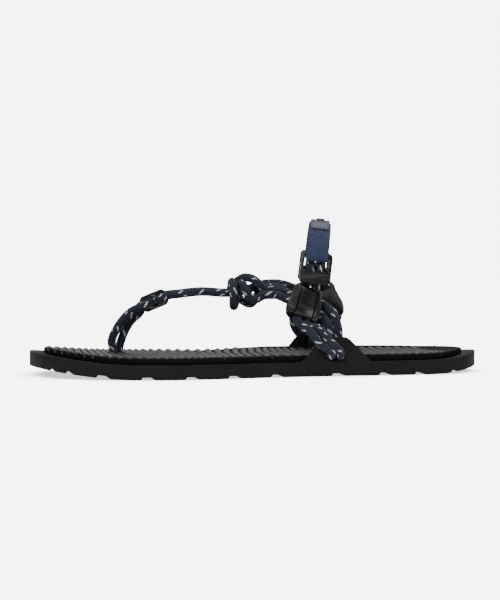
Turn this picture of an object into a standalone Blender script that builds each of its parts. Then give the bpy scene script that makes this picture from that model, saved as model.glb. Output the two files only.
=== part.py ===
"""Rope sandal for the left foot: a rubber outsole with two side tabs, a moulded
footbed, and an upper of round rope with a toe post, a knot, two cord locks and a
webbing heel strap. Metres, +Z up. The toe points along -X and the outer side of
the foot is at -Y. The origin is on the floor, at the middle of the sole.
"""

import math

import bmesh
import bpy
from mathutils import Matrix, Vector

# Sole
SOLE_LENGTH = 0.270
BALL_WIDTH = 0.100
SOLE_THICKNESS = 0.0085
TOE_SPRING = 0.0060
HEEL_SPRING = 0.0040
TOE_SPRING_START = 0.21
HEEL_SPRING_START = 0.88
SPRING_POWER = 1.6
LUG_DEPTH = 0.0016
LUG_RAMP = 0.0012

# Side tabs, grown up out of the sole's edge
TAB_PLACE = 0.655
TAB_HEIGHT = 0.0145
TAB_HALF = 0.0220
TAB_WALL = 0.0030
SLOT_HEIGHT = 0.0037
SLOT_POCKET = 0.0125
RELIEF = 0.0120

# Footbed
FOOTBED_THICKNESS = 0.0027
FOOTBED_END = 0.0085
WING_DROP = 0.0080
WING_WALL = 0.0020
WING_FILLET = 0.0060
MEDIAL_RAISE = 0.0025
LATERAL_RAISE = 0.0006

# Rope and the clearance between touching pieces
ROPE = 0.0050
STRAND_PITCH = 0.0057
FIT_GAP = 0.0003
HOLE_EASE = 0.0004

# Toe post
TOE_HOLE_PLACE = 0.1975
TOE_HOLE_SIDE = 0.0186
TOE_HOLE_FLOOR = 0.0030
TOE_PAIR = Vector((0.0019, 0.0022, 0.0))

# Slider on the toe post
SLIDER_PLACE = Vector((-0.0590, 0.0170, 0.0430))
SLIDER_LENGTH = 0.0167
SLIDER_HEIGHT = 0.0100
SLIDER_WEB = 0.0024
SLIDER_BAND = 0.0022
SLIDER_WALL = 0.0012
SLIDER_SLOPE = math.radians(22)

# Knot on the instep
KNOT_PLACE = Vector((-0.0035, 0.0080, 0.0480))
KNOT_REACH = (0.0138, 0.0130)

# Heel strap loop: its own frame of width, span and height
LOOP_PLACE = Vector((0.0369, 0.0, 0.0680))
LOOP_TURN = math.radians(-10)
LOOP_LEAN = math.radians(6.5)
STRAP_WIDTH = 0.0130
STRAP_PLY = 0.0012
LINING_PLY = 0.0010
ARCH_RADIUS = 0.0215
ARCH_SWEEP = math.radians(76)
ARCH_HEIGHT = 0.0190
RETURN_LENGTH = 0.0060
PATCH_LENGTH = 0.0320
PATCH_WIDTH = 0.0112
PATCH_PLY = 0.0010
PAD_LENGTH = 0.0105
PAD_WIDTH = 0.0048
PAD_PLY = 0.0009

# Frame that joins rope and webbing
FRAME_WIDTH = 0.0185
FRAME_HEIGHT = 0.0188
FRAME_DEPTH = 0.0030
FRAME_POST = 0.0019
FRAME_PLATE = 0.0064
FRAME_TOP = 0.0028
FRAME_BAR = 0.0009
FRAME_BAR_HEIGHT = 0.0104
FRAME_BAR_BACK = 0.0072
FRAME_CHEEK = 0.0040
FRAME_LEAN = math.pi / 2 - ARCH_SWEEP

# Cord lock: body, wedge and their groove
LOCK_LENGTH = 0.0218
LOCK_WIDTH = 0.0208
LOCK_DEPTH = 0.0104
LOCK_PANEL = 0.0112
LOCK_RECESS = 0.0021
LOCK_EASE = 0.0008
LOCK_CHANNEL_BACK = 0.0010
LOCK_CHANNEL_SIDE = 0.0010
LOCK_CHANNEL_TILT = math.radians(2)
LOCK_RIDGES = 5

UP = Vector((0, 0, 1))
SIDES = 8

# Outline of the sole: share of the length from the toe, share of the ball width
OUTLINE = [
    (0.000, 0.060), (0.012, -0.100), (0.045, -0.240), (0.105, -0.370),
    (0.190, -0.455), (0.290, -0.490), (0.400, -0.455), (0.520, -0.385),
    (0.650, -0.345), (0.780, -0.335), (0.880, -0.310), (0.945, -0.250),
    (0.985, -0.130), (1.000, 0.000), (0.985, 0.130), (0.945, 0.245),
    (0.880, 0.305), (0.780, 0.325), (0.650, 0.325), (0.520, 0.345),
    (0.400, 0.410), (0.290, 0.475), (0.190, 0.495), (0.105, 0.455),
    (0.045, 0.350), (0.012, 0.220),
]

# Side view of a tab: share of its half length, share of its height
TAB_SHAPE = [
    (-1.00, 0.00), (-0.82, 0.16), (-0.58, 0.60), (-0.36, 0.93), (-0.22, 1.00),
    (0.22, 1.00), (0.40, 0.90), (0.80, 0.27), (1.00, 0.00),
]

# Tread grooves across the sole: share of the length from the toe, half width
GROOVES = [
    (0.041, 0.0014), (0.074, 0.0022), (0.142, 0.0040), (0.236, 0.0042),
    (0.331, 0.0042), (0.426, 0.0042), (0.523, 0.0040), (0.662, 0.0044),
    (0.767, 0.0040), (0.847, 0.0036), (0.929, 0.0022),
]


def half_rope():
    return ROPE / 2


def smooth(points, closed=False, steps=12):
    """Points along a Catmull-Rom curve through the given points."""
    count = len(points)
    spans = count if closed else count - 1
    made = []
    for i in range(spans):
        if closed:
            four = [points[(i + k) % count] for k in (-1, 0, 1, 2)]
        else:
            four = [points[min(max(i + k, 0), count - 1)] for k in (-1, 0, 1, 2)]
        a, b, c, d = (Vector(p) for p in four)
        for j in range(steps):
            t = j / steps
            made.append(
                0.5 * (2 * b + (c - a) * t + (2 * a - 5 * b + 4 * c - d) * t**2
                       + (3 * b - a - 3 * c + d) * t**3)
            )
    if not closed:
        made.append(Vector(points[-1]))
    return made


def lookup(table, x):
    """The table's second column at x, on straight lines between its rows."""
    if x <= table[0][0]:
        return table[0][1]
    for (x0, y0), (x1, y1) in zip(table, table[1:]):
        if x <= x1:
            return y0 + (y1 - y0) * (x - x0) / max(x1 - x0, 1e-12)
    return table[-1][1]


def outline_edges():
    """Two tables of share along and width share: the outer and the inner edge."""
    rows = smooth([(x, y, 0) for x, y in OUTLINE], closed=True, steps=16)
    heel = max(range(len(rows)), key=lambda i: rows[i].x)
    toe = min(range(len(rows)), key=lambda i: rows[i].x)
    ring = rows[toe:] + rows[:toe]
    split = (heel - toe) % len(rows)
    outer = [(p.x, p.y) for p in ring[:split + 1]]
    inner = [(p.x, p.y) for p in reversed(ring[split:] + ring[:1])]
    return outer, inner


OUTER_EDGE, INNER_EDGE = outline_edges()
TAB_CURVE = [(p.x, p.y) for p in smooth([(x, y, 0) for x, y in TAB_SHAPE], steps=4)]


def share_of(x):
    return x / SOLE_LENGTH + 0.5


def place_of(share):
    return (share - 0.5) * SOLE_LENGTH


def outer_edge(x):
    return lookup(OUTER_EDGE, share_of(x)) * BALL_WIDTH


def inner_edge(x):
    return lookup(INNER_EDGE, share_of(x)) * BALL_WIDTH


def spring(share, toe, heel):
    """How far the sole curls up at this share of its length."""
    if share < TOE_SPRING_START:
        return toe * ((TOE_SPRING_START - share) / TOE_SPRING_START) ** SPRING_POWER
    if share > HEEL_SPRING_START:
        past = (share - HEEL_SPRING_START) / (1 - HEEL_SPRING_START)
        return heel * past ** SPRING_POWER
    return 0.0


def floor_side(x):
    return spring(share_of(x), TOE_SPRING, HEEL_SPRING)


def deck(x):
    return SOLE_THICKNESS + floor_side(x)


def tab_rise(x):
    """Height of the side tab above the deck."""
    along = (x - place_of(TAB_PLACE)) / TAB_HALF
    if abs(along) >= 1:
        return 0.0
    return TAB_HEIGHT * min(1.0, max(0.0, lookup(TAB_CURVE, along)))


def groove_share(x):
    """1 in a tread groove, 0 on a lug, and between on a groove's ramp."""
    found = 0.0
    for share, half in GROOVES:
        away = abs(x - place_of(share))
        found = max(found, min(1.0, max(0.0, (half - away) / LUG_RAMP)))
    return found


def stations(first, last, grooves, count=30):
    """Places along the length where the sole or the footbed has a section."""
    found = [first + (last - first) * (1 - math.cos(math.pi * i / count)) / 2
             for i in range(count + 1)]
    keep = []
    for share, half in grooves:
        centre = place_of(share)
        keep += [centre - half, centre - half + LUG_RAMP,
                 centre + half - LUG_RAMP, centre + half]
    tab = place_of(TAB_PLACE)
    keep += [tab + row * TAB_HALF for row, _ in TAB_CURVE[::2]]
    keep = [x for x in keep if first < x < last]
    near = 0.0016
    found = [x for x in found
             if x in (found[0], found[-1]) or min(abs(x - k) for k in keep) > near]
    merged = []
    for x in sorted(found + keep):
        if not merged or x - merged[-1] > 1e-5:
            merged.append(x)
    return merged


def face_out(mesh):
    """Turn every face outward."""
    mesh.normal_update()
    bmesh.ops.recalc_face_normals(mesh, faces=mesh.faces)


def new_object(name, mesh, colour, rough, metal=0.0):
    """An object in the sandal's collection, with a material of its own."""
    obj = bpy.data.objects.new(name, mesh)
    PARTS.objects.link(obj)
    finish(obj, name, colour, rough, metal)
    return obj


def finish(obj, name, colour, rough, metal=0.0):
    material = bpy.data.materials.new(name)
    material.use_nodes = True
    shader = material.node_tree.nodes["Principled BSDF"]
    shader.inputs["Base Color"].default_value = (*colour, 1)
    shader.inputs["Roughness"].default_value = rough
    shader.inputs["Metallic"].default_value = metal
    obj.data.materials.clear()
    obj.data.materials.append(material)


def loft(name, rings, colour, rough):
    """A closed solid through rings of equal count, flat at both ends."""
    mesh = bmesh.new()
    rows = [[mesh.verts.new(p) for p in ring] for ring in rings]
    count = len(rings[0])
    for low, high in zip(rows, rows[1:]):
        for i in range(count):
            j = (i + 1) % count
            mesh.faces.new((low[i], low[j], high[j], high[i]))
    mesh.faces.new(list(reversed(rows[0])))
    mesh.faces.new(rows[-1])
    bmesh.ops.remove_doubles(mesh, verts=mesh.verts, dist=1e-6)
    bmesh.ops.dissolve_degenerate(mesh, dist=1e-6, edges=mesh.edges)
    face_out(mesh)
    data = bpy.data.meshes.new(name)
    mesh.to_mesh(data)
    mesh.free()
    return new_object(name, data, colour, rough)


def cutter(name, mesh):
    """A wire helper that cuts or joins, and is no part of the sandal."""
    face_out(mesh)
    data = bpy.data.meshes.new(name)
    mesh.to_mesh(data)
    mesh.free()
    obj = bpy.data.objects.new(name, data)
    CUTTERS.objects.link(obj)
    obj.hide_render = True
    obj.display_type = "WIRE"
    return obj


def combine(obj, other, operation):
    step = obj.modifiers.new(operation.lower(), "BOOLEAN")
    step.operation = operation
    step.object = other
    step.solver = "EXACT"


def box(name, size, matrix, bevel=0.0, segments=2):
    """A box cutter of this size, on its own matrix, with rounded edges if asked."""
    mesh = bmesh.new()
    bmesh.ops.create_cube(mesh, size=1.0, matrix=Matrix.Diagonal((*size, 1)))
    if bevel:
        bmesh.ops.bevel(mesh, geom=mesh.edges, offset=bevel, segments=segments,
                        affect="EDGES", profile=0.5)
    mesh.transform(matrix)
    return cutter(name, mesh)


def rod(name, radius, length, matrix, sides=16):
    """A round cutter along its own Z axis."""
    mesh = bmesh.new()
    bmesh.ops.create_cone(mesh, cap_ends=True, segments=sides, radius1=radius,
                          radius2=radius, depth=length, matrix=matrix)
    return cutter(name, mesh)


def stadium(name, half_pitch, radius, length, matrix, sides=10):
    """A long round-ended cutter along its own Z axis, wide along its own X."""
    mesh = bmesh.new()
    ring = []
    for centre, start in ((half_pitch, -math.pi / 2), (-half_pitch, math.pi / 2)):
        for i in range(sides + 1):
            angle = start + math.pi * i / sides
            ring.append((centre + radius * math.cos(angle), radius * math.sin(angle)))
    low = [mesh.verts.new((x, y, -length / 2)) for x, y in ring]
    high = [mesh.verts.new((x, y, length / 2)) for x, y in ring]
    for i in range(len(ring)):
        j = (i + 1) % len(ring)
        mesh.faces.new((low[i], low[j], high[j], high[i]))
    mesh.faces.new(list(reversed(low)))
    mesh.faces.new(high)
    mesh.transform(matrix)
    return cutter(name, mesh)


def frame_from(origin, along_x, along_z):
    """A matrix at origin with its Z and, as near as can be, its X on these ways."""
    z = along_z.normalized()
    x = (along_x - z * along_x.dot(z)).normalized()
    y = z.cross(x)
    return Matrix((
        (x.x, y.x, z.x, origin.x),
        (x.y, y.y, z.y, origin.y),
        (x.z, y.z, z.z, origin.z),
        (0, 0, 0, 1),
    ))


# Sole and footbed

RUBBER = (0.020, 0.021, 0.023)
FOAM = (0.028, 0.027, 0.027)
PLASTIC = (0.012, 0.012, 0.013)
NAVY = (0.020, 0.030, 0.085)
WEB_BLUE = (0.030, 0.048, 0.140)
BLACK = (0.008, 0.008, 0.009)


def outsole_section(x):
    """The sole's section at x, from its outer bottom edge round to its outer top."""
    low, high = outer_edge(x), inner_edge(x)
    middle, half = (low + high) / 2, (high - low) / 2
    wall = min(TAB_WALL, 0.6 * half)
    top, rise = deck(x), tab_rise(x)
    floor = floor_side(x) + LUG_DEPTH * groove_share(x)
    bottom = [(x, low, floor), (x, middle, floor), (x, high, floor)]
    return bottom + [
        (x, high, top + rise),
        (x, high - wall, top + rise),
        (x, high - wall, top),
        (x, middle + 0.3 * half, top),
        (x, middle - 0.3 * half, top),
        (x, low + wall, top),
        (x, low + wall, top + rise),
        (x, low, top + rise),
    ]


def footbed_section(x, reach):
    """The footbed's section at x. It reaches from -reach to +reach along X."""
    stretch = SOLE_LENGTH / (2 * reach)
    inset = (TAB_WALL + 2 * FIT_GAP) * (1 - abs(x / reach) ** 10)
    low = outer_edge(x * stretch) + inset
    high = inner_edge(x * stretch) - inset
    high = max(high, low)
    middle, half = (low + high) / 2, (high - low) / 2
    base = deck(x) + FIT_GAP
    back = min(1.0, max(0.0, (x + 0.030) / 0.045))
    back = back * back * (3 - 2 * back)
    raise_in = MEDIAL_RAISE * back * (1 - abs(x / reach) ** 8)
    rise = max(0.0, tab_rise(x) - WING_DROP)
    wall = min(WING_WALL, 0.3 * half)
    fillet = min(WING_FILLET, 0.3 * half)

    def surface(y):
        side = (y - middle) / max(half, 1e-9)
        lift = raise_in * side**3 if side > 0 else LATERAL_RAISE * side * side
        return base + FOOTBED_THICKNESS + lift

    def edge(side, outside):
        inward = -side
        top = surface(outside)
        return [
            (x, outside, base),
            (x, outside, top + rise),
            (x, outside + inward * wall, surface(outside + inward * wall) + rise),
            (x, outside + inward * (wall + 0.15 * fillet),
             surface(outside + inward * (wall + 0.15 * fillet)) + 0.42 * min(rise, fillet)),
            (x, outside + inward * (wall + 0.45 * fillet),
             surface(outside + inward * (wall + 0.45 * fillet)) + 0.12 * min(rise, fillet)),
            (x, outside + inward * (wall + fillet), surface(outside + inward * (wall + fillet))),
        ]

    outer = edge(-1, low)
    inner = edge(1, high)
    between = [(x, middle + share * half, surface(middle + share * half))
               for share in (-0.35, 0.0, 0.35)]
    under = [(x, middle, base)]
    return outer + between + list(reversed(inner)) + under


def slot_matrix(side):
    """Centre of a tab's slot, its Z along Y and its X along X. side is -1 or 1."""
    x = place_of(TAB_PLACE)
    edge = outer_edge(x) if side < 0 else inner_edge(x)
    depth = edge - side * (SLOT_POCKET / 2 - 0.002)
    z = deck(x) + SLOT_HEIGHT
    return frame_from(Vector((x, depth, z)), Vector((1, 0, 0)), Vector((0, 1, 0)))


def toe_hole_place():
    return Vector((place_of(TOE_HOLE_PLACE), TOE_HOLE_SIDE, 0))


def make_sole():
    """Outsole and footbed, with the tabs' slots and the toe post's hole."""
    reach = SOLE_LENGTH / 2
    rings = [outsole_section(x) for x in stations(-reach, reach, GROOVES)]
    outsole = loft("outsole", rings, RUBBER, 0.75)
    inner_reach = reach - FOOTBED_END
    rings = [footbed_section(x, inner_reach) for x in stations(-inner_reach, inner_reach, ())]
    footbed = loft("footbed", rings, FOAM, 0.85)
    clear = half_rope() + HOLE_EASE
    for side, name in ((-1, "slot_cutter_outer"), (1, "slot_cutter_inner")):
        slot = stadium(name, STRAND_PITCH / 2, clear, SLOT_POCKET + 0.004, slot_matrix(side))
        combine(outsole, slot, "DIFFERENCE")
        combine(footbed, slot, "DIFFERENCE")
        x = place_of(TAB_PLACE)
        above = deck(x) + SLOT_HEIGHT + slot_turn() + RELIEF / 2 - clear
        relief = stadium("rope_relief_cutter", STRAND_PITCH / 2 + 0.001, clear, RELIEF,
                         frame_from(Vector((x, wing_face(side) - side * slot_turn(), above)),
                                    Vector((1, 0, 0)), UP))
        combine(footbed, relief, "DIFFERENCE")
    hole_top = deck(toe_hole_place().x) + 0.02
    centre = toe_hole_place() + UP * (TOE_HOLE_FLOOR + hole_top) / 2
    hole = stadium("toe_hole_cutter", TOE_PAIR.length, clear, hole_top - TOE_HOLE_FLOOR,
                   frame_from(centre, TOE_PAIR, UP))
    combine(outsole, hole, "DIFFERENCE")
    combine(footbed, hole, "DIFFERENCE")


# Frames of reference of the heel strap's loop, its two frames and the two locks

def loop_matrix():
    """Width along X, span along Y and height along Z of the heel strap's loop."""
    turn = Matrix.Rotation(LOOP_TURN, 4, "Z")
    lean = Matrix.Rotation(LOOP_LEAN, 4, "Y")
    return Matrix.Translation(LOOP_PLACE) @ turn @ lean


def bar_centre():
    """Span and height of the top bar's centre in the loop, on the outer side."""
    middle = ARCH_HEIGHT - ARCH_RADIUS
    return (-ARCH_RADIUS * math.sin(ARCH_SWEEP),
            middle + ARCH_RADIUS * math.cos(ARCH_SWEEP))


def frame_matrix(side):
    """Bottom of a strap frame: width along X, outward along Y, up along Z."""
    span, height = bar_centre()
    down = FRAME_HEIGHT - FRAME_TOP / 2
    span -= down * math.sin(FRAME_LEAN)
    height -= down * math.cos(FRAME_LEAN)
    place = Matrix.Translation((0, -side * span, height))
    tip = Matrix.Rotation(side * FRAME_LEAN, 4, "X")
    face = Matrix.Diagonal((1, side, 1, 1))
    return loop_matrix() @ place @ tip @ face


LOCK_ENDS = {
    -1: (Vector((0.0287, -0.0192, 0.0516)), Vector((0.0208, -0.0332, 0.0328))),
    1: (Vector((0.0432, 0.0186, 0.0507)), Vector((0.0512, 0.0265, 0.0306))),
}


def lock_matrix(side):
    """Middle of a cord lock: width along X, outward along Y, up along Z."""
    top, bottom = LOCK_ENDS[side]
    z = (top - bottom).normalized()
    out = Vector((0, side, 0))
    y = (out - z * out.dot(z)).normalized()
    x = y.cross(z) if side > 0 else z.cross(y)
    x = -x if x.x < 0 else x
    centre = (top + bottom) / 2
    return Matrix((
        (x.x, y.x, z.x, centre.x),
        (x.y, y.y, z.y, centre.y),
        (x.z, y.z, z.z, centre.z),
        (0, 0, 0, 1),
    ))


def lock_channel():
    """The rope's channel in a lock: nearer the back, and tilted to one side."""
    tilt = Matrix.Rotation(-LOCK_CHANNEL_TILT, 4, "Y")
    return Matrix.Translation((LOCK_CHANNEL_SIDE, -LOCK_CHANNEL_BACK, 0)) @ tilt


# Rope

def thin_out(points, bend=0.0002, longest=0.012):
    """Fewer points, kept where the line bends or after the longest step."""
    kept = [points[0]]
    start = 0
    for end in range(2, len(points)):
        a, b = points[start], points[end]
        way = b - a
        off = max(((p - a) - way * ((p - a).dot(way) / way.length_squared)).length
                  for p in points[start + 1:end])
        if off > bend or way.length > longest:
            kept.append(points[end - 1])
            start = end - 1
    kept.append(points[-1])
    return kept


def rope(name, points, colour=NAVY):
    """A round cord along a smooth curve through the given points."""
    curve = bpy.data.curves.new(name, "CURVE")
    curve.dimensions = "3D"
    curve.bevel_depth = half_rope()
    curve.bevel_resolution = 2
    curve.use_fill_caps = True
    curve.twist_mode = "MINIMUM"
    line = curve.splines.new("POLY")
    path = thin_out(smooth(points))
    line.points.add(len(path) - 1)
    for point, place in zip(line.points, path):
        point.co = (*place, 1)
    obj = bpy.data.objects.new(name, curve)
    PARTS.objects.link(obj)
    finish(obj, name, colour, 0.8)
    return obj


def around_bar(side_x):
    """One leg of the rope in a strap frame's own axes: up behind the plate, then
    through the cheeks, in front of their bar and over it."""
    behind = -FRAME_DEPTH / 2 - FIT_GAP - half_rope() - 0.0003
    wrap = FRAME_BAR + half_rope() + FIT_GAP + 0.0001
    points = [(side_x, behind, 0.0058)]
    for degrees, spread in ((-22, 1), (14, 1), (50, 1), (86, 1), (120, 1), (150, 0.82)):
        a = math.radians(degrees)
        points.append((spread * side_x, wrap * math.cos(a) - FRAME_BAR_BACK,
                       wrap * math.sin(a) + FRAME_BAR_HEIGHT))
    return [Vector(p) for p in points]


def slot_turn():
    return half_rope() + FIT_GAP + 0.0004


def wing_face(side):
    """Where the slanted inner face of the footbed's wing meets the slot."""
    x = place_of(TAB_PLACE)
    edge = outer_edge(x) if side < 0 else inner_edge(x)
    return edge - side * (TAB_WALL + 2 * FIT_GAP + WING_WALL + 0.15 * WING_FILLET)


def through_slot(side, pitch, from_inside, drift_in, drift_out):
    """The rope's turn round a tab, through its slot, from above to above. It drifts
    along X as it leaves the slot on either side."""
    x = place_of(TAB_PLACE) + pitch
    edge = outer_edge(x) if side < 0 else inner_edge(x)
    z = deck(x) + SLOT_HEIGHT
    turn = slot_turn()
    wing = wing_face(side)
    inside = [(x + drift_in, wing - side * turn, z + 1.8 * turn),
              (x + 0.4 * drift_in, wing - side * turn, z + turn),
              (x + 0.1 * drift_in, wing - side * 0.71 * turn, z + 0.29 * turn),
              (x, wing + side * 0.1 * turn, z)]
    outside = [(x, edge - side * 0.1 * turn, z),
               (x + 0.1 * drift_out, edge + side * 0.71 * turn, z + 0.29 * turn),
               (x + 0.4 * drift_out, edge + side * 1.05 * turn, z + turn)]
    route = inside + outside
    return [Vector(p) for p in (route if from_inside else reversed(route))]


def side_rope(side, name, lead_a, lead_b, climb_a, climb_b, from_inside, drift):
    """One long rope on one side: out of the knot, round the tab, up through the lock,
    over the frame's bar and back down the same way beside itself."""
    legs = []
    lock = lock_matrix(side)
    channel = lock_channel()
    frame = frame_matrix(side)
    half = STRAND_PITCH / 2
    reach = LOCK_LENGTH / 2
    for pitch, lead, climb in ((-half, lead_a, climb_a), (half, lead_b, climb_b)):
        leg = [KNOT_PLACE + Vector(p) for p in lead]
        leg += through_slot(side, pitch, from_inside, *drift)
        leg += [Vector(p) for p in climb]
        for share in (-1.15, -0.90, -0.30, 0.30, 0.92):
            leg.append(lock @ channel @ Vector((pitch, 0, share * reach)))
        leg += [frame @ p for p in around_bar(pitch * 1.08)]
        legs.append(leg)
    wrap = FRAME_BAR + half_rope() + FIT_GAP + 0.0003
    bight = frame @ Vector((0, -wrap - FRAME_BAR_BACK, FRAME_BAR_HEIGHT))
    return rope(name, legs[0] + [bight] + list(reversed(legs[1])))


# Ways from the knot to the tabs, as offsets from the knot, and up to the locks
LEAD_OUT_A = [(0.0134, -0.0108, -0.0012), (0.0165, -0.0112, -0.0014), (0.0225, -0.0150, -0.0042),
              (0.0308, -0.0196, -0.0070), (0.0376, -0.0262, -0.0108),
              (0.0420, -0.0330, -0.0165), (0.0440, -0.0336, -0.0240)]
LEAD_OUT_B = [(0.0134, -0.0052, 0.0014), (0.0165, -0.0055, 0.0014), (0.0235, -0.0090, -0.0005),
              (0.0325, -0.0150, -0.0028), (0.0402, -0.0235, -0.0058),
              (0.0458, -0.0312, -0.0108), (0.0482, -0.0336, -0.0180),
              (0.0490, -0.0337, -0.0250)]
LEAD_IN_A = [(0.0134, 0.0004, 0.0030), (0.0165, 0.0010, 0.0030), (0.0215, 0.0050, 0.0020),
             (0.0275, 0.0135, -0.0015), (0.0322, 0.0225, -0.0072),
             (0.0335, 0.0283, -0.0150), (0.0345, 0.0287, -0.0230)]
LEAD_IN_B = [(0.0134, 0.0058, 0.0050), (0.0165, 0.0064, 0.0051), (0.0230, 0.0100, 0.0045),
             (0.0330, 0.0165, 0.0010), (0.0410, 0.0240, -0.0050),
             (0.0460, 0.0284, -0.0140), (0.0475, 0.0288, -0.0225)]
CLIMB_OUT_A = [(0.0312, -0.0388, 0.0198), (0.0262, -0.0384, 0.0262)]
CLIMB_OUT_B = [(0.0378, -0.0385, 0.0205), (0.0328, -0.0382, 0.0268)]
CLIMB_IN_A = [(0.0440, 0.0244, 0.0235)]
CLIMB_IN_B = [(0.0502, 0.0244, 0.0235)]


def toe_routes():
    """The two strands of the toe post, from the hole to the knot."""
    hole = toe_hole_place()
    bottom = UP * (TOE_HOLE_FLOOR + 0.0005)
    level = UP * (deck(hole.x) + 0.0045)
    rise = {-1: [(-0.0012, 0.0, 0.0190), (0.0013, -0.0005, 0.0256),
                 (0.0053, -0.0009, 0.0317), (0.0103, -0.0014, 0.0366)],
            1: [(0.0034, 0.0024, 0.0195), (0.0062, 0.0025, 0.0262),
                (0.0100, 0.0025, 0.0316), (0.0150, 0.0025, 0.0362)]}
    away = SLIDER_WEB / 2 + FIT_GAP + half_rope() + 0.0001
    along = Vector((math.cos(SLIDER_SLOPE), 0, math.sin(SLIDER_SLOPE)))
    routes = []
    for side in (-1, 1):
        foot = hole + side * TOE_PAIR
        line = [foot + bottom, foot + level]
        shift = Vector((-0.0019, -0.0022, 0)) if side < 0 else Vector((0, 0, 0))
        line += [hole + shift + Vector(p) for p in rise[side]]
        middle = SLIDER_PLACE + Vector((0, side * away, 0))
        line += [middle + along * share for share in (-0.0090, -0.003, 0.003, 0.0090)]
        beside = STRAND_PITCH / 2 * side
        line += [Vector((-0.0440, 0.0133 + beside * 1.15, 0.0473)),
                 Vector((-0.0320, 0.0105 + beside, 0.0487)),
                 Vector((KNOT_PLACE.x - KNOT_REACH[0] - 0.0040, KNOT_PLACE.y + beside,
                         KNOT_PLACE.z + 0.0001)),
                 Vector((KNOT_PLACE.x - KNOT_REACH[0] - 0.0004, KNOT_PLACE.y + beside,
                         KNOT_PLACE.z - 0.0001))]
        routes.append(line)
    return routes


# The knot's three lengths of rope, as offsets from the knot
KNOT_THROUGH = [(-0.0155, -0.00285, -0.0001), (-0.0120, -0.00285, -0.0001),
                (-0.0080, -0.0030, 0.0000),
                (-0.0010, -0.0005, 0.0012), (0.0055, 0.0018, 0.0030),
                (0.0108, 0.0004, 0.0030), (0.0145, 0.0004, 0.0030)]
KNOT_WRAP = [(-0.0155, 0.00285, -0.0001), (-0.0120, 0.00285, -0.0001),
             (-0.0085, 0.0045, 0.0030),
             (-0.0075, 0.0010, 0.0065), (-0.0080, -0.0055, 0.0050),
             (-0.0086, -0.0078, -0.0010), (-0.0080, -0.0045, -0.0078),
             (-0.0072, 0.0010, -0.0066), (-0.0050, 0.0050, 0.0000),
             (-0.0035, 0.0020, 0.0060), (-0.0015, -0.0052, 0.0040),
             (0.0010, -0.0072, -0.0020), (0.0040, -0.0062, -0.0050),
             (0.0072, -0.0085, -0.0020), (0.0108, -0.0108, -0.0012),
             (0.0145, -0.0108, -0.0012)]
KNOT_ARCH = [(0.0145, -0.0052, 0.0014), (0.0108, -0.0052, 0.0014),
             (0.0070, -0.0050, 0.0050),
             (0.0015, -0.0028, 0.0092), (-0.0050, 0.0020, 0.0082),
             (-0.0040, 0.0075, 0.0020), (0.0010, 0.0080, -0.0050),
             (0.0060, 0.0060, -0.0040), (0.0078, 0.0062, 0.0020),
             (0.0108, 0.0058, 0.0050), (0.0145, 0.0058, 0.0050)]


def tube_mesh(points):
    """A round tube of rope as a closed mesh, made from a curve and then freed of it."""
    obj = rope("knot_length", points)
    bpy.context.view_layer.update()
    graph = bpy.context.evaluated_depsgraph_get()
    data = bpy.data.meshes.new_from_object(obj.evaluated_get(graph))
    mesh = bmesh.new()
    mesh.from_mesh(data)
    mesh.transform(obj.matrix_world)
    bmesh.ops.remove_doubles(mesh, verts=mesh.verts, dist=1e-6)
    bpy.data.objects.remove(obj)
    return mesh


def make_knot():
    """The knot: its lengths of rope joined where they press on each other."""
    lengths = [[KNOT_PLACE + Vector(p) for p in route]
               for route in (KNOT_THROUGH, KNOT_WRAP, KNOT_ARCH)]
    joined = bmesh.new()
    for points in lengths:
        part = tube_mesh(points)
        data = bpy.data.meshes.new("knot_length")
        part.to_mesh(data)
        part.free()
        joined.from_mesh(data)
    data = bpy.data.meshes.new("knot")
    joined.to_mesh(data)
    joined.free()
    knot = new_object("knot", data, NAVY, 0.8)
    fuse = knot.modifiers.new("fuse", "REMESH")
    fuse.mode = "VOXEL"
    fuse.voxel_size = ROPE / 9
    fewer = knot.modifiers.new("fewer", "DECIMATE")
    fewer.ratio = 0.09
    for end, way in ((-KNOT_REACH[0], -1), (KNOT_REACH[1], 1)):
        place = KNOT_PLACE + Vector((end + way * 0.010, 0, 0))
        combine(knot, box("knot_end_cutter", (0.020, 0.060, 0.060),
                          Matrix.Translation(place)), "DIFFERENCE")


def make_rope_upper():
    for name, route in zip(("toe_cord_outer", "toe_cord_inner"), toe_routes()):
        rope(name, route)
    make_knot()
    side_rope(-1, "side_cord_outer", LEAD_OUT_A, LEAD_OUT_B, CLIMB_OUT_A, CLIMB_OUT_B, True,
              (-0.0004, -0.0030))
    side_rope(1, "side_cord_inner", LEAD_IN_A, LEAD_IN_B, CLIMB_IN_A, CLIMB_IN_B, False,
              (0.0010, -0.0012))


# Hard pieces on the rope

def make_slider():
    """Flat slider between the toe post's strands, with a band round them both."""
    along = Vector((math.cos(SLIDER_SLOPE), 0, math.sin(SLIDER_SLOPE)))
    across = Vector((0, 1, 0))
    matrix = frame_from(SLIDER_PLACE, across, along)
    clear = half_rope() + FIT_GAP
    away = SLIDER_WEB / 2 + FIT_GAP + half_rope() + 0.0001
    mesh = bmesh.new()
    bmesh.ops.create_cube(mesh, size=1.0, matrix=Matrix.Diagonal(
        (SLIDER_WEB, SLIDER_HEIGHT, SLIDER_LENGTH, 1)))
    long_edges = [e for e in mesh.edges
                  if abs((e.verts[0].co - e.verts[1].co).normalized().x) > 0.9]
    bmesh.ops.bevel(mesh, geom=long_edges, offset=0.0030, segments=4, affect="EDGES",
                    profile=0.5)
    mesh.transform(matrix)
    face_out(mesh)
    data = bpy.data.meshes.new("slider")
    mesh.to_mesh(data)
    mesh.free()
    slider = new_object("slider", data, PLASTIC, 0.55)
    band = stadium("slider_band", away, clear + SLIDER_WALL, SLIDER_BAND, matrix)
    combine(slider, band, "UNION")
    for side in (-1, 1):
        bore = rod("slider_bore", clear, SLIDER_LENGTH * 2,
                   matrix @ Matrix.Translation((side * away, 0, 0)))
        combine(slider, bore, "DIFFERENCE")


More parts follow.
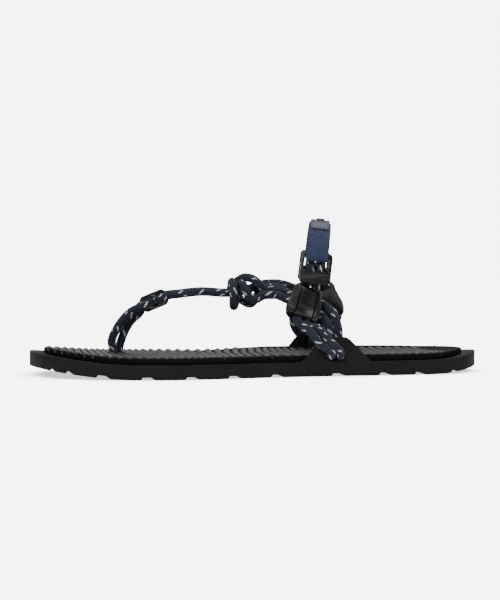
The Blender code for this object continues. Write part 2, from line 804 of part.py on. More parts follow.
# Cord lock sections: share of the half length, share of width, share of depth
LOCK_SECTIONS = [(-1.00, 0.80, 0.76), (-0.86, 0.92, 0.92), (-0.60, 0.98, 1.00),
                 (-0.30, 1.00, 1.00), (0.10, 0.92, 0.98), (0.55, 0.83, 0.95),
                 (0.88, 0.82, 0.90), (1.00, 0.78, 0.80)]


def lock_ring(length_share, width_share, depth_share, count=20):
    ring = []
    for i in range(count):
        a = 2 * math.pi * (i + 0.5) / count
        c, s = math.cos(a), math.sin(a)
        ring.append(Vector((
            math.copysign(abs(c) ** 0.55, c) * LOCK_WIDTH / 2 * width_share,
            math.copysign(abs(s) ** 0.55, s) * LOCK_DEPTH / 2 * depth_share,
            LOCK_LENGTH / 2 * length_share)))
    return ring


def make_lock(side, word):
    """A cord lock: a hollow body with two wings, and a ridged wedge between them."""
    matrix = lock_matrix(side)
    rings = [[matrix @ p for p in lock_ring(*row)] for row in LOCK_SECTIONS]
    body = loft("lock_body_" + word, rings, PLASTIC, 0.45)
    combine(body, stadium("lock_channel", STRAND_PITCH / 2, half_rope() + LOCK_EASE,
                          LOCK_LENGTH * 1.5, matrix @ lock_channel()), "DIFFERENCE")
    front = LOCK_DEPTH / 2
    recess = Matrix.Translation((0, front, 0))
    combine(body, box("lock_recess", (LOCK_PANEL, 2 * LOCK_RECESS, LOCK_LENGTH * 1.5),
                      matrix @ recess), "DIFFERENCE")
    panel = LOCK_PANEL - 4 * FIT_GAP
    mesh = bmesh.new()
    profile = [(-0.96, 0.10), (-0.90, 0.62), (-0.55, 0.98), (-0.30, 1.02), (-0.26, 0.86),
               (0.55, 0.74), (0.85, 0.52), (0.92, 0.10)]
    thick = LOCK_RECESS - FIT_GAP
    base = front - LOCK_RECESS + FIT_GAP
    side_rows = []
    for x in (-panel / 2, panel / 2):
        row = [mesh.verts.new((x, base + thick * rise, share * LOCK_LENGTH / 2))
               for share, rise in profile]
        row.append(mesh.verts.new((x, base, 0.92 * LOCK_LENGTH / 2)))
        row.append(mesh.verts.new((x, base, -0.96 * LOCK_LENGTH / 2)))
        side_rows.append(row)
    left, right = side_rows
    for i in range(len(left)):
        j = (i + 1) % len(left)
        mesh.faces.new((left[i], left[j], right[j], right[i]))
    mesh.faces.new(list(reversed(left)))
    mesh.faces.new(right)
    bmesh.ops.remove_doubles(mesh, verts=mesh.verts, dist=1e-6)
    mesh.transform(matrix)
    face_out(mesh)
    data = bpy.data.meshes.new("wedge")
    mesh.to_mesh(data)
    mesh.free()
    wedge = new_object("lock_wedge_" + word, data, PLASTIC, 0.45)
    for i in range(LOCK_RIDGES):
        share = -0.15 + 0.16 * i
        rise = base + thick * (0.86 - 0.12 * (share + 0.26) / 0.81)
        bar = Matrix.Translation((0, rise, share * LOCK_LENGTH / 2))
        combine(wedge, box("lock_ridge", (panel * 0.72, 0.0007, 0.0006), matrix @ bar),
                "UNION")


def make_strap_frame(side, word):
    """The frame between rope and webbing: a plate, two posts, a top and a middle bar."""
    matrix = frame_matrix(side)
    body = bmesh.new()
    centre = Matrix.Translation((0, 0, FRAME_HEIGHT / 2))
    size = Matrix.Diagonal((FRAME_WIDTH, FRAME_DEPTH, FRAME_HEIGHT, 1))
    bmesh.ops.create_cube(body, size=1.0, matrix=centre @ size)
    corners = [e for e in body.edges
               if abs((e.verts[0].co - e.verts[1].co).normalized().y) > 0.9]
    bmesh.ops.bevel(body, geom=corners, offset=0.0022, segments=3, affect="EDGES",
                    profile=0.5)
    body.transform(matrix)
    face_out(body)
    data = bpy.data.meshes.new("frame")
    body.to_mesh(data)
    body.free()
    frame = new_object("strap_frame_" + word, data, PLASTIC, 0.35)
    window = FRAME_HEIGHT - FRAME_TOP - FRAME_PLATE
    hole = Matrix.Translation((0, 0, FRAME_PLATE + window / 2))
    combine(frame, box("frame_window", (FRAME_WIDTH - 2 * FRAME_POST, 0.02, window),
                       matrix @ hole), "DIFFERENCE")
    lying = Matrix.Rotation(math.pi / 2, 4, "Y")
    for edge in (-1, 1):
        place = Matrix.Translation((edge * (FRAME_WIDTH - FRAME_POST) / 2,
                                    -FRAME_BAR_BACK / 2, FRAME_BAR_HEIGHT))
        combine(frame, box("frame_cheek", (FRAME_POST * 0.9, FRAME_BAR_BACK + FRAME_CHEEK / 2,
                                           FRAME_CHEEK), matrix @ place, 0.0006), "UNION")
    bar = Matrix.Translation((0, -FRAME_BAR_BACK, FRAME_BAR_HEIGHT)) @ lying
    combine(frame, rod("frame_bar", FRAME_BAR, FRAME_WIDTH - FRAME_POST, matrix @ bar,
                       sides=12), "UNION")


# Heel strap

def ribbon(name, line, ply, width, colour, rough):
    """A flat band whose middle follows line, given as span and height in the loop."""
    matrix = loop_matrix()
    rings = []
    for i, point in enumerate(line):
        before = line[max(i - 1, 0)]
        after = line[min(i + 1, len(line) - 1)]
        way = (Vector(after) - Vector(before)).normalized()
        out = Vector((-way.y, way.x)) * ply / 2
        rings.append([matrix @ Vector((w, point[0] + k * out.x, point[1] + k * out.y))
                      for w, k in ((-width / 2, -1), (width / 2, -1),
                                   (width / 2, 1), (-width / 2, 1))])
    return loft(name, rings, colour, rough)


def arch(radius, sweep, steps):
    """An arc of the loop about its middle, from the outer side over to the inner."""
    middle = ARCH_HEIGHT - ARCH_RADIUS
    found = []
    for i in range(steps + 1):
        a = -sweep + 2 * sweep * i / steps
        found.append((radius * math.sin(a), middle + radius * math.cos(a)))
    return found


def make_heel_strap():
    """The webbing with its two folded ends, its lining, and the patch on top."""
    span, height = bar_centre()
    turn = math.hypot(FRAME_DEPTH, FRAME_TOP) / 2 + FIT_GAP + STRAP_PLY / 2
    outward = Vector((-math.cos(FRAME_LEAN), math.sin(FRAME_LEAN)))
    upward = Vector((math.sin(FRAME_LEAN), math.cos(FRAME_LEAN)))
    bar = Vector((span, height))
    fold = []
    for degrees in range(0, 181, 20):
        a = math.radians(degrees)
        fold.append(bar - outward * turn * math.cos(a) - upward * turn * math.sin(a))
    returned = bar - outward * turn + upward * RETURN_LENGTH
    leg = [returned, bar - outward * turn + upward * RETURN_LENGTH * 0.5] + fold
    big = arch(ARCH_RADIUS + turn, ARCH_SWEEP * 0.93, 14)
    left = [tuple(p) for p in leg]
    right = [(-p[0], p[1]) for p in reversed(leg)]
    ribbon("heel_strap", left + big + right, STRAP_PLY, STRAP_WIDTH, WEB_BLUE, 0.9)
    lining = ARCH_RADIUS + turn - STRAP_PLY / 2 - FIT_GAP - LINING_PLY / 2
    covered = ARCH_SWEEP - (RETURN_LENGTH + 0.0012) / ARCH_RADIUS
    ribbon("strap_lining", arch(lining, covered, 12), LINING_PLY, STRAP_WIDTH * 0.94,
           BLACK, 0.9)
    above = ARCH_RADIUS + turn + STRAP_PLY / 2 + FIT_GAP + PATCH_PLY / 2
    patch = ribbon("strap_patch", arch(above, PATCH_LENGTH / 2 / above, 10), PATCH_PLY,
                   PATCH_WIDTH, NAVY, 0.6)
    pad = ribbon("patch_pad", arch(above + PAD_PLY / 2 + PATCH_PLY / 4,
                                   PAD_LENGTH / 2 / above, 5),
                 PAD_PLY + PATCH_PLY / 2, PAD_WIDTH, NAVY, 0.6)
    PARTS.objects.unlink(pad)
    CUTTERS.objects.link(pad)
    pad.hide_render = True
    pad.display_type = "WIRE"
    combine(patch, pad, "UNION")


def clear_scene():
    for obj in list(bpy.data.objects):
        bpy.data.objects.remove(obj)


clear_scene()
PARTS = bpy.data.collections.new("rope_sandal")
CUTTERS = bpy.data.collections.new("cutters")
bpy.context.scene.collection.children.link(PARTS)
bpy.context.scene.collection.children.link(CUTTERS)
make_sole()
make_rope_upper()
make_slider()
for SIDE, WORD in ((-1, "outer"), (1, "inner")):
    make_lock(SIDE, WORD)
    make_strap_frame(SIDE, WORD)
make_heel_strap()
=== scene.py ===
"""Rope sandal: the looks of a left rope sandal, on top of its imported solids.

Each operator makes one group of pieces: the sole, the footbed's ribs, the ropes with
their knot, the plastic parts, the heel strap, and the studio. Lengths are in metres.
"""

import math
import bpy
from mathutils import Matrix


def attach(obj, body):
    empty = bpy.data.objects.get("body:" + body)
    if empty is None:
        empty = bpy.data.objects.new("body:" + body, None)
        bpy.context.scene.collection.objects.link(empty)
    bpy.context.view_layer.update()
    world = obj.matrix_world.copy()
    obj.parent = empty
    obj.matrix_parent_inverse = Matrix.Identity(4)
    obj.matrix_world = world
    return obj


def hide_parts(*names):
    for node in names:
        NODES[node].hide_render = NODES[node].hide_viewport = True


bl_info = {
    "name": "Rope sandal",
    "version": (1, 0, 0),
    "blender": (4, 5, 0),
    "location": "3D View > Sidebar > Sandal",
    "description": "Builds the surfaces, ropes and straps of a rope sandal",
    "category": "Object",
}

import bmesh
import bpy
from mathutils import Matrix, Vector
from mathutils.bvhtree import BVHTree

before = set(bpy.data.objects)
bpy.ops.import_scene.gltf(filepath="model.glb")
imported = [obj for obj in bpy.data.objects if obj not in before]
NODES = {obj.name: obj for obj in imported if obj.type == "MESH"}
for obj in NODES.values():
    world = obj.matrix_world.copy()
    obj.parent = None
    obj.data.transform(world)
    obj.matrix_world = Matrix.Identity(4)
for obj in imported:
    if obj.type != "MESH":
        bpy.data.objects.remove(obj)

# The sole's length and the rise of its two ends, as the solids have them
SOLE_LENGTH = 0.270
SOLE_THICKNESS = 0.0085
TOE_SPRING = 0.0060
HEEL_SPRING = 0.0040
TOE_SPRING_START = 0.21
HEEL_SPRING_START = 0.88
SPRING_POWER = 1.6
FOOTBED_THICKNESS = 0.0027
FOOTBED_END = 0.0085

# The heel strap's loop, and the plies on it
LOOP_PLACE = Vector((0.0369, 0.0, 0.0680))
LOOP_TURN = math.radians(-10)
LOOP_LEAN = math.radians(6.5)
ARCH_RADIUS = 0.0215
ARCH_SWEEP = math.radians(76)
ARCH_HEIGHT = 0.0190
STRAP_WIDTH = 0.0130
STRAP_PLY = 0.0012
FOLD_RADIUS = 0.00295
RETURN_LENGTH = 0.0060
PATCH_LENGTH = 0.0320
PATCH_WIDTH = 0.0112
PATCH_PLY = 0.0010
SEAM_GAP = 0.0003

# The cord locks: the ends of their middle lines, and their sizes
LOCK_ENDS = {
    "outer": (Vector((0.0287, -0.0192, 0.0516)), Vector((0.0208, -0.0332, 0.0328))),
    "inner": (Vector((0.0432, 0.0186, 0.0507)), Vector((0.0512, 0.0265, 0.0306))),
}
LOCK_LENGTH = 0.0218
LOCK_DEPTH = 0.0104
LOCK_PANEL = 0.0112
LOCK_RIDGE_COUNT = 6
LOCK_RIDGE_PITCH = 0.00062

# The camera's place and aim, and its lens in millimetres
CAMERA_PLACE = Vector((-0.26308, -1.47297, 0.11429))
CAMERA_AIM = Vector((-0.00289, 0.00260, 0.04363))
CAMERA_LENS = 150

# The lights: name, place, size, power and what each one points at
LAMPS = (
    ("key", (-0.6, -1.0, 1.2), 0.6, 13.0, (0, 0, 0)),
    ("top", (0.3, 0.4, 1.5), 1.0, 10.0, (0, 0, 0)),
    ("side", (1.1, -0.8, 0.7), 0.6, 3.0, (0, 0, 0.03)),
)
FLOOR_AS_SEEN = 6.0
FLOOR_AS_LIGHT = 0.28
WORLD_LIGHT = 0.22

# The lean of the footbed's ribs from edge to edge, and the run of sole in which it swings
RIB_LEAN = 0.0085
RIB_LEAN_HEEL = 0.0100
RIB_LEAN_RUN = 0.095
RIB_SWING = 0.0009

# The ropes' routes between their ends, in millimetres
ROUTES_MM = {
    "toe_cord_outer": [
        (-83.6, 16.4, 3.5), (-83.6, 16.4, 13.1), (-84.8, 16.4, 19.0), (-82.3, 15.9, 25.6),
        (-78.3, 15.5, 31.7), (-73.3, 15.0, 36.6), (-67.3, 12.9, 39.6), (-61.8, 12.9, 41.9),
        (-56.2, 12.9, 44.1), (-50.7, 12.9, 46.4), (-44.0, 10.0, 47.3), (-32.0, 7.7, 48.7),
        (-21.3, 5.2, 48.1), (-17.7, 5.2, 47.9),
    ],
    "toe_cord_inner": [
        (-79.8, 20.8, 3.5), (-79.8, 20.8, 13.1), (-78.3, 21.0, 19.5), (-75.5, 21.1, 26.2),
        (-71.7, 21.1, 31.6), (-66.7, 21.1, 36.2), (-67.3, 21.1, 39.6), (-61.8, 21.1, 41.9),
        (-56.2, 21.1, 44.1), (-50.7, 21.1, 46.4), (-44.0, 16.6, 47.3), (-32.0, 13.3, 48.7),
        (-21.3, 10.9, 48.1), (-17.7, 10.9, 47.9),
    ],
    "side_cord_outer": [
        (9.9, -2.8, 46.8), (13.0, -3.2, 46.6), (19.0, -7.0, 43.8), (27.3, -11.6, 41.0),
        (34.1, -18.2, 37.2), (38.5, -25.0, 31.5), (40.5, -25.6, 24.0), (38.6, -24.7, 18.0),
        (38.8, -24.7, 15.4), (39.0, -25.6, 13.1), (39.0, -28.2, 12.2), (39.0, -34.3, 12.2),
        (38.7, -36.9, 13.1), (37.8, -38.0, 15.4), (31.2, -38.8, 19.8), (26.2, -38.4, 26.2),
        (19.2, -32.5, 32.6), (20.0, -31.0, 34.7), (21.9, -27.3, 39.8), (23.7, -23.6, 44.8),
        (25.7, -19.8, 50.1), (29.5, -18.2, 58.7), (29.8, -18.4, 62.0), (30.2, -18.0, 64.3),
        (30.6, -16.4, 65.9), (31.1, -14.1, 66.3), (31.3, -12.1, 65.3), (31.8, -11.2, 63.5),
        (34.1, -11.4, 61.2), (36.8, -12.1, 63.0), (37.3, -13.2, 64.6), (37.1, -15.2, 65.6),
        (36.6, -17.5, 65.2), (36.2, -19.1, 63.6), (35.8, -19.4, 61.3), (35.5, -19.3, 58.0),
        (31.0, -19.6, 48.0), (29.0, -23.5, 42.8), (27.2, -27.2, 37.7), (25.3, -30.9, 32.7),
        (24.5, -32.4, 30.6), (32.8, -38.2, 26.8), (37.8, -38.5, 20.5), (43.5, -37.6, 15.4),
        (44.4, -36.5, 13.1), (44.7, -33.9, 12.2), (44.7, -28.2, 12.2), (44.7, -25.6, 13.1),
        (44.5, -24.7, 15.4), (44.3, -24.7, 18.0), (45.5, -25.7, 23.0), (44.7, -25.6, 30.0),
        (42.3, -23.2, 37.2), (36.7, -15.5, 42.2), (29.0, -7.0, 45.2), (20.0, -1.0, 47.5),
        (13.0, 2.5, 49.4), (9.9, 2.8, 49.4),
    ],
    "side_cord_inner": [
        (9.9, 8.4, 51.0), (13.0, 9.0, 51.0), (18.0, 13.0, 50.0), (24.0, 21.5, 46.5),
        (28.7, 30.5, 40.8), (30.0, 36.3, 33.0), (31.0, 36.7, 25.0), (38.5, 35.9, 15.4),
        (38.9, 34.8, 13.1), (39.0, 32.2, 12.2), (39.0, 26.3, 12.2), (39.1, 23.7, 13.1),
        (39.4, 22.8, 15.4), (40.0, 22.8, 18.0), (44.0, 24.4, 23.5), (50.4, 25.9, 28.8),
        (49.4, 25.0, 31.1), (46.9, 22.8, 36.8), (44.4, 20.5, 42.4), (41.8, 18.2, 48.2),
        (36.1, 19.6, 58.7), (36.5, 19.7, 62.0), (36.7, 19.2, 64.3), (36.6, 17.6, 65.9),
        (36.2, 15.3, 66.3), (35.8, 13.3, 65.3), (36.0, 12.3, 63.5), (38.2, 11.6, 61.2),
        (40.9, 11.4, 63.0), (41.8, 12.3, 64.6), (42.3, 14.2, 65.6), (42.6, 16.5, 65.2),
        (42.7, 18.2, 63.6), (42.6, 18.6, 61.3), (42.2, 18.6, 58.0), (47.1, 18.1, 50.5),
        (49.6, 20.5, 44.7), (52.1, 22.7, 39.0), (54.6, 24.9, 33.4), (55.6, 25.9, 31.1),
        (50.2, 24.4, 23.5), (45.7, 22.8, 18.0), (45.1, 22.8, 15.4), (44.8, 23.7, 13.1),
        (44.7, 26.3, 12.2), (44.7, 32.1, 12.2), (44.6, 34.7, 13.1), (44.2, 35.8, 15.4),
        (44.0, 36.8, 25.5), (42.5, 36.4, 34.0), (37.5, 32.0, 43.0), (29.5, 24.5, 49.0),
        (19.5, 18.0, 52.5), (13.0, 14.4, 53.1), (9.9, 13.8, 53.0),
    ],
}
KNOT_PLACE = Vector((-0.0035, 0.0080, 0.0480))

# The knot's three lengths of rope, as offsets from the knot in millimetres
KNOT_MM = {
    "through": [
        (-14.0, -2.85, -0.1), (-11.0, -2.85, 0.0), (-7.0, -2.4, 0.2), (-1.5, 0.2, 1.4),
        (4.5, 1.6, 3.0), (10.0, 0.4, 3.0), (13.2, 0.4, 3.0),
    ],
    "wrap": [
        (-14.0, 2.85, -0.1), (-11.0, 2.9, 0.0), (-9.2, 4.2, 3.2), (-9.4, 1.0, 6.4),
        (-9.6, -4.6, 5.0), (-9.8, -7.2, -1.2), (-9.2, -4.2, -7.6), (-7.4, 1.4, -7.0),
        (-5.6, 5.2, 0.0), (-4.6, 2.4, 6.2), (-3.4, -4.8, 4.6), (-1.6, -7.4, 0.4),
        (1.0, -7.6, -3.4), (4.4, -8.2, -3.6), (7.2, -9.6, -1.8), (10.4, -10.7, -1.2),
        (13.2, -10.8, -1.2),
    ],
    "arch": [
        (13.2, -5.2, 1.4), (10.4, -5.2, 1.7), (6.8, -4.6, 4.8), (2.6, -2.8, 8.2),
        (-2.6, -0.4, 8.9), (-7.0, 3.2, 5.2), (-6.2, 7.4, 0.0), (-2.0, 8.6, -5.0),
        (3.0, 6.4, -7.2), (6.4, 5.8, -3.4), (8.4, 5.9, 2.0), (10.6, 5.8, 4.8),
        (13.2, 5.8, 5.0),
    ],
}


class SandalSettings(bpy.types.PropertyGroup):
    """Sizes and colours of the surfaces."""

    rope_radius: bpy.props.FloatProperty(
        name="Rope radius", description="Radius of the braided rope",
        default=0.00258, min=0.001, unit="LENGTH")
    fleck_spacing: bpy.props.FloatProperty(
        name="Fleck spacing", description="Run of rope from one pale fleck to the next",
        default=0.0108, min=0.002, unit="LENGTH")
    rib_pitch: bpy.props.FloatProperty(
        name="Rib pitch", description="Distance between the footbed's ribs",
        default=0.0049, min=0.002, unit="LENGTH")
    rib_height: bpy.props.FloatProperty(
        name="Rib height", description="Rise of the footbed's ribs",
        default=0.0012, min=0.0002, unit="LENGTH")
    stitch_length: bpy.props.FloatProperty(
        name="Stitch length", description="Length of one stitch on the patch",
        default=0.0017, min=0.0005, unit="LENGTH")
    rope_colour: bpy.props.FloatVectorProperty(
        name="Rope", description="Navy of the rope's yarns", subtype="COLOR",
        default=(0.0115, 0.0165, 0.040))
    fleck_colour: bpy.props.FloatVectorProperty(
        name="Fleck", description="Pale yarns in the rope", subtype="COLOR",
        default=(0.95, 0.95, 0.95))
    web_colour: bpy.props.FloatVectorProperty(
        name="Webbing", description="Blue of the heel strap", subtype="COLOR",
        default=(0.033, 0.049, 0.130))
    rubber_colour: bpy.props.FloatVectorProperty(
        name="Rubber", description="Black of the outsole", subtype="COLOR",
        default=(0.0046, 0.0046, 0.0048))
    foam_colour: bpy.props.FloatVectorProperty(
        name="Footbed", description="Black of the footbed's side wall", subtype="COLOR",
        default=(0.0040, 0.0038, 0.0036))
    rib_colour: bpy.props.FloatVectorProperty(
        name="Footbed ribs", description="Worn black of the footbed's ribs", subtype="COLOR",
        default=(0.030, 0.0295, 0.029))
    thread_colour: bpy.props.FloatVectorProperty(
        name="Stitches", description="Thread on the strap and its patch", subtype="COLOR",
        default=(0.070, 0.088, 0.165))
    patch_colour: bpy.props.FloatVectorProperty(
        name="Patch", description="Grey blue of the strap's patch", subtype="COLOR",
        default=(0.062, 0.070, 0.104))
    plastic_colour: bpy.props.FloatVectorProperty(
        name="Plastic", description="Black of the locks, frames and slider",
        subtype="COLOR", default=(0.0030, 0.0031, 0.0038))


def settings():
    return bpy.context.scene.sandal


# Shader nodes

class Shader:
    """A material or a node group, with short calls to add its nodes."""

    def __init__(self, tree):
        self.tree = tree

    def node(self, kind, **values):
        made = self.tree.nodes.new(kind)
        for key, value in values.items():
            setattr(made, key, value)
        return made

    def put(self, socket, value):
        if hasattr(value, "is_output"):
            self.tree.links.new(value, socket)
        elif value is not None:
            socket.default_value = value

    def math(self, operation, a, b=None, c=None):
        made = self.node("ShaderNodeMath", operation=operation)
        for socket, value in zip(made.inputs, (a, b, c)):
            self.put(socket, value)
        return made.outputs[0]

    def mix(self, factor, a, b):
        made = self.node("ShaderNodeMix", data_type="RGBA")
        for key, value in ((0, factor), (6, a), (7, b)):
            self.put(made.inputs[key], value)
        return made.outputs[2]

    def noise(self, scale, detail=3.0, vector=None, rough=0.55):
        made = self.node("ShaderNodeTexNoise")
        made.inputs["Scale"].default_value = scale
        made.inputs["Detail"].default_value = detail
        made.inputs["Roughness"].default_value = rough
        if vector is not None:
            self.put(made.inputs["Vector"], vector)
        return made.outputs["Fac"]

    def spread(self, value, low, high, to_low, to_high):
        made = self.node("ShaderNodeMapRange")
        for socket, number in zip(made.inputs, (value, low, high, to_low, to_high)):
            self.put(socket, number)
        return made.outputs[0]

    def bump(self, height, distance, strength=1.0, normal=None):
        made = self.node("ShaderNodeBump")
        made.inputs["Strength"].default_value = strength
        made.inputs["Distance"].default_value = distance
        self.put(made.inputs["Height"], height)
        if normal is not None:
            self.put(made.inputs["Normal"], normal)
        return made.outputs["Normal"]

    def place(self):
        """The surface's own coordinates, in metres."""
        return self.node("ShaderNodeTexCoord").outputs["Object"]

    def uv(self):
        """Share across or round, and length along, from the piece's UV map."""
        split = self.node("ShaderNodeSeparateXYZ")
        self.put(split.inputs[0], self.node("ShaderNodeUVMap", uv_map="run").outputs[0])
        return split.outputs[0], split.outputs[1]


def new_group(name, inputs, outputs):
    tree = bpy.data.node_groups.new(name, "ShaderNodeTree")
    for key, kind, default in inputs:
        socket = tree.interface.new_socket(key, in_out="INPUT", socket_type=kind)
        socket.default_value = default
    for key, kind in outputs:
        tree.interface.new_socket(key, in_out="OUTPUT", socket_type=kind)
    shader = Shader(tree)
    return shader, shader.node("NodeGroupInput"), shader.node("NodeGroupOutput")


def braid_group():
    """The rope's braid: its height, where its pale flecks are, and where its grooves are painted
    darker as shade.
    """
    if "Rope braid" in bpy.data.node_groups:
        return bpy.data.node_groups["Rope braid"]
    s, given, made = new_group(
        "Rope braid",
        [("Round", "NodeSocketFloat", 0.0), ("Along", "NodeSocketFloat", 0.0),
         ("Spacing", "NodeSocketFloat", 0.0125)],
        [("Height", "NodeSocketFloat"), ("Fleck", "NodeSocketFloat"),
         ("Groove shade", "NodeSocketFloat")])
    around, along, spacing = given.outputs[0], given.outputs[1], given.outputs[2]
    turns = s.math("MULTIPLY", around, 16.0)
    lean = s.math("MULTIPLY", along, 430.0)
    right = s.math("SINE", s.math("MULTIPLY", s.math("ADD", turns, lean), math.pi))
    left = s.math("SINE", s.math("MULTIPLY", s.math("SUBTRACT", turns, lean), math.pi))
    weave = s.math("MAXIMUM", s.math("ABSOLUTE", right), s.math("ABSOLUTE", left))
    fine = s.math("SINE", s.math("MULTIPLY", turns, math.pi * 6))
    height = s.math("ADD", weave, s.math("MULTIPLY", fine, 0.16))
    strand = s.math("FRACT", s.math("ADD", s.math("MULTIPLY", around, 11.0),
                                    s.math("MULTIPLY", along, 75.0)))
    line = s.spread(s.math("ABSOLUTE", s.math("SUBTRACT", strand, 0.5)), 0.24, 0.48, 0.0, 1.0)
    # Flecks: groups of three dashes on neighbouring yarns, each a step further along
    yarn = s.math("ADD", s.math("MULTIPLY", around, 22.0), s.math("MULTIPLY", along, 300.0))
    cell = s.math("FLOOR", yarn)
    within = s.math("FRACT", yarn)
    family = s.math("FLOOR", s.math("DIVIDE", cell, 5.5))
    group = s.math("LESS_THAN", s.math("FLOORED_MODULO", cell, 5.5), 2.5)
    step = s.math("ADD", s.math("DIVIDE", along, spacing), s.math("MULTIPLY", cell, 0.085))
    step = s.math("ADD", step, s.math("MULTIPLY", family, 0.41))
    part = s.math("FRACT", step)
    short = s.math("LESS_THAN", part, 0.165)
    narrow = s.math("LESS_THAN", s.math("ABSOLUTE", s.math("SUBTRACT", within, 0.5)), 0.44)
    fleck = s.math("MULTIPLY", s.math("MULTIPLY", group, short), narrow)
    s.put(made.inputs["Height"], s.math("SUBTRACT", height, s.math("MULTIPLY", line, 0.8)))
    s.put(made.inputs["Fleck"], fleck)
    # Groove shade: the strand lines and the low places of the weave, where the rope's colour is
    # painted darker as shade would fall there
    s.put(made.inputs["Groove shade"], s.math(
        "MAXIMUM", line, s.spread(weave, 0.50, 0.95, 0.8, 0.0)))
    return s.tree


def wear_group():
    """Grain of a moulded surface: fine bump, faint dust and an uneven gloss."""
    if "Moulded grain" in bpy.data.node_groups:
        return bpy.data.node_groups["Moulded grain"]
    s, given, made = new_group(
        "Moulded grain",
        [("Place", "NodeSocketVector", (0, 0, 0)), ("Grain", "NodeSocketFloat", 2500.0)],
        [("Height", "NodeSocketFloat"), ("Dust", "NodeSocketFloat"),
         ("Gloss", "NodeSocketFloat")])
    place, grain = given.outputs[0], given.outputs[1]
    fine = s.node("ShaderNodeTexNoise")
    s.put(fine.inputs["Vector"], place)
    s.put(fine.inputs["Scale"], grain)
    fine.inputs["Detail"].default_value = 4.0
    cloud = s.noise(60.0, 4.0, place)
    s.put(made.inputs["Height"], fine.outputs["Fac"])
    s.put(made.inputs["Dust"], s.spread(cloud, 0.45, 0.75, 0.0, 1.0))
    s.put(made.inputs["Gloss"], s.spread(s.noise(320.0, 3.0, place), 0.3, 0.7, -1.0, 1.0))
    return s.tree


def start_material(name):
    made = bpy.data.materials.new(name)
    made.use_nodes = True
    s = Shader(made.node_tree)
    return made, s, made.node_tree.nodes["Principled BSDF"]


def use_group(s, tree, **values):
    made = s.node("ShaderNodeGroup", node_tree=tree)
    for key, value in values.items():
        s.put(made.inputs[key], value)
    return made.outputs


def rope_material():
    made, s, shader = start_material("rope_navy")
    around, along = s.uv()
    braid = use_group(s, braid_group(), Round=around, Along=along,
                      Spacing=settings().fleck_spacing)
    base = (*settings().rope_colour, 1)
    pale = tuple(min(1.0, 2.0 * c) for c in settings().rope_colour) + (1,)
    # Painted shade: the rope's colour is darkened in the braid's grooves, standing in for the
    # shade that falls in them
    painted_shade = tuple(0.22 * c for c in settings().rope_colour) + (1,)
    cloth = s.mix(s.noise(900.0, 3.0, s.place()), base, pale)
    cloth = s.mix(s.math("MULTIPLY", braid["Groove shade"], 0.9), cloth, painted_shade)
    worn_fleck_and_ridge_highlight = tuple(0.72 * c for c in settings().fleck_colour) + (1,)
    fleck = s.mix(s.noise(2600.0, 2.0, s.place()), worn_fleck_and_ridge_highlight, (*settings().fleck_colour, 1))
    s.put(shader.inputs["Base Color"], s.mix(braid["Fleck"], cloth, fleck))
    s.put(shader.inputs["Roughness"], s.spread(braid["Fleck"], 0.0, 1.0, 0.78, 0.45))
    shader.inputs["Sheen Weight"].default_value = 0.08
    shader.inputs["Sheen Roughness"].default_value = 0.45
    height = s.math("ADD", braid["Height"], s.math("MULTIPLY", braid["Fleck"], 0.25))
    s.put(shader.inputs["Normal"], s.bump(height, 0.00034, 1.0))
    return made


def moulded_material(name, colour, rough, grain=2500.0, depth=0.00004, dust=0.12, coat=0.0,
                     dust_colour=(0.050, 0.047, 0.043, 1), shine=0.5):
    """Rubber, foam or plastic, with grain, some dust and an uneven gloss."""
    made, s, shader = start_material(name)
    wear = use_group(s, wear_group(), Place=s.place(), Grain=grain)
    tint = s.mix(s.noise(35.0, 3.0, s.place()), (*[0.85 * c for c in colour], 1),
                 (*[1.2 * c for c in colour], 1))
    s.put(shader.inputs["Base Color"],
          s.mix(s.math("MULTIPLY", wear["Dust"], dust), tint, dust_colour))
    gloss = s.math("MULTIPLY", wear["Gloss"], 0.05)
    s.put(shader.inputs["Roughness"], s.math("ADD", gloss, rough))
    shader.inputs["Specular IOR Level"].default_value = shine
    shader.inputs["Coat Weight"].default_value = coat
    shader.inputs["Coat Roughness"].default_value = 0.15
    s.put(shader.inputs["Normal"], s.bump(wear["Height"], depth, 0.7))
    return made


def webbing_material():
    """Flat woven webbing: steep twill lines that swing across it, over fine threads, with painted
    shade in the valleys between the twill lines.
    """
    made, s, shader = start_material("webbing_blue")
    across, along = s.uv()
    swing = s.math("MULTIPLY", s.math("SINE", s.math("MULTIPLY", across, 7 * math.pi)), 0.62)
    row = s.math("ADD", s.math("MULTIPLY", along, 560.0), s.math("ADD", swing, s.math(
        "MULTIPLY", across, 2.2)))
    twill = s.math("ABSOLUTE", s.math("SINE", s.math("MULTIPLY", row, math.pi)))
    warp = s.math("ABSOLUTE", s.math("SINE", s.math("MULTIPLY", across, 30 * math.pi)))
    height = s.math("ADD", s.math("MULTIPLY", twill, 0.75), s.math("MULTIPLY", warp, 0.30))
    base = (*settings().web_colour, 1)
    # Painted shade: the valleys between the twill lines are painted darker, standing in for the
    # shade that falls in them
    painted_shade = tuple(0.16 * c for c in settings().web_colour) + (1,)
    pale = tuple(1.7 * c for c in settings().web_colour) + (1,)
    cloth = s.mix(s.spread(twill, 0.35, 0.95, 0.0, 1.0), painted_shade, base)
    cloth = s.mix(s.math("MULTIPLY", s.noise(1400.0, 3.0, s.place()), 0.5), cloth, pale)
    s.put(shader.inputs["Base Color"], cloth)
    shader.inputs["Roughness"].default_value = 0.82
    shader.inputs["Sheen Weight"].default_value = 0.08
    s.put(shader.inputs["Normal"], s.bump(height, 0.00045, 1.0))
    return made


def knit_material():
    made, s, shader = start_material("lining_black")
    loops = s.node("ShaderNodeTexVoronoi")
    s.put(loops.inputs["Vector"], s.place())
    loops.inputs["Scale"].default_value = 1600.0
    s.put(shader.inputs["Base Color"], s.mix(
        loops.outputs["Distance"], (0.014, 0.014, 0.015, 1), (0.004, 0.004, 0.005, 1)))
    shader.inputs["Roughness"].default_value = 0.95
    s.put(shader.inputs["Normal"], s.bump(loops.outputs["Distance"], 0.0002, 0.8))
    return made


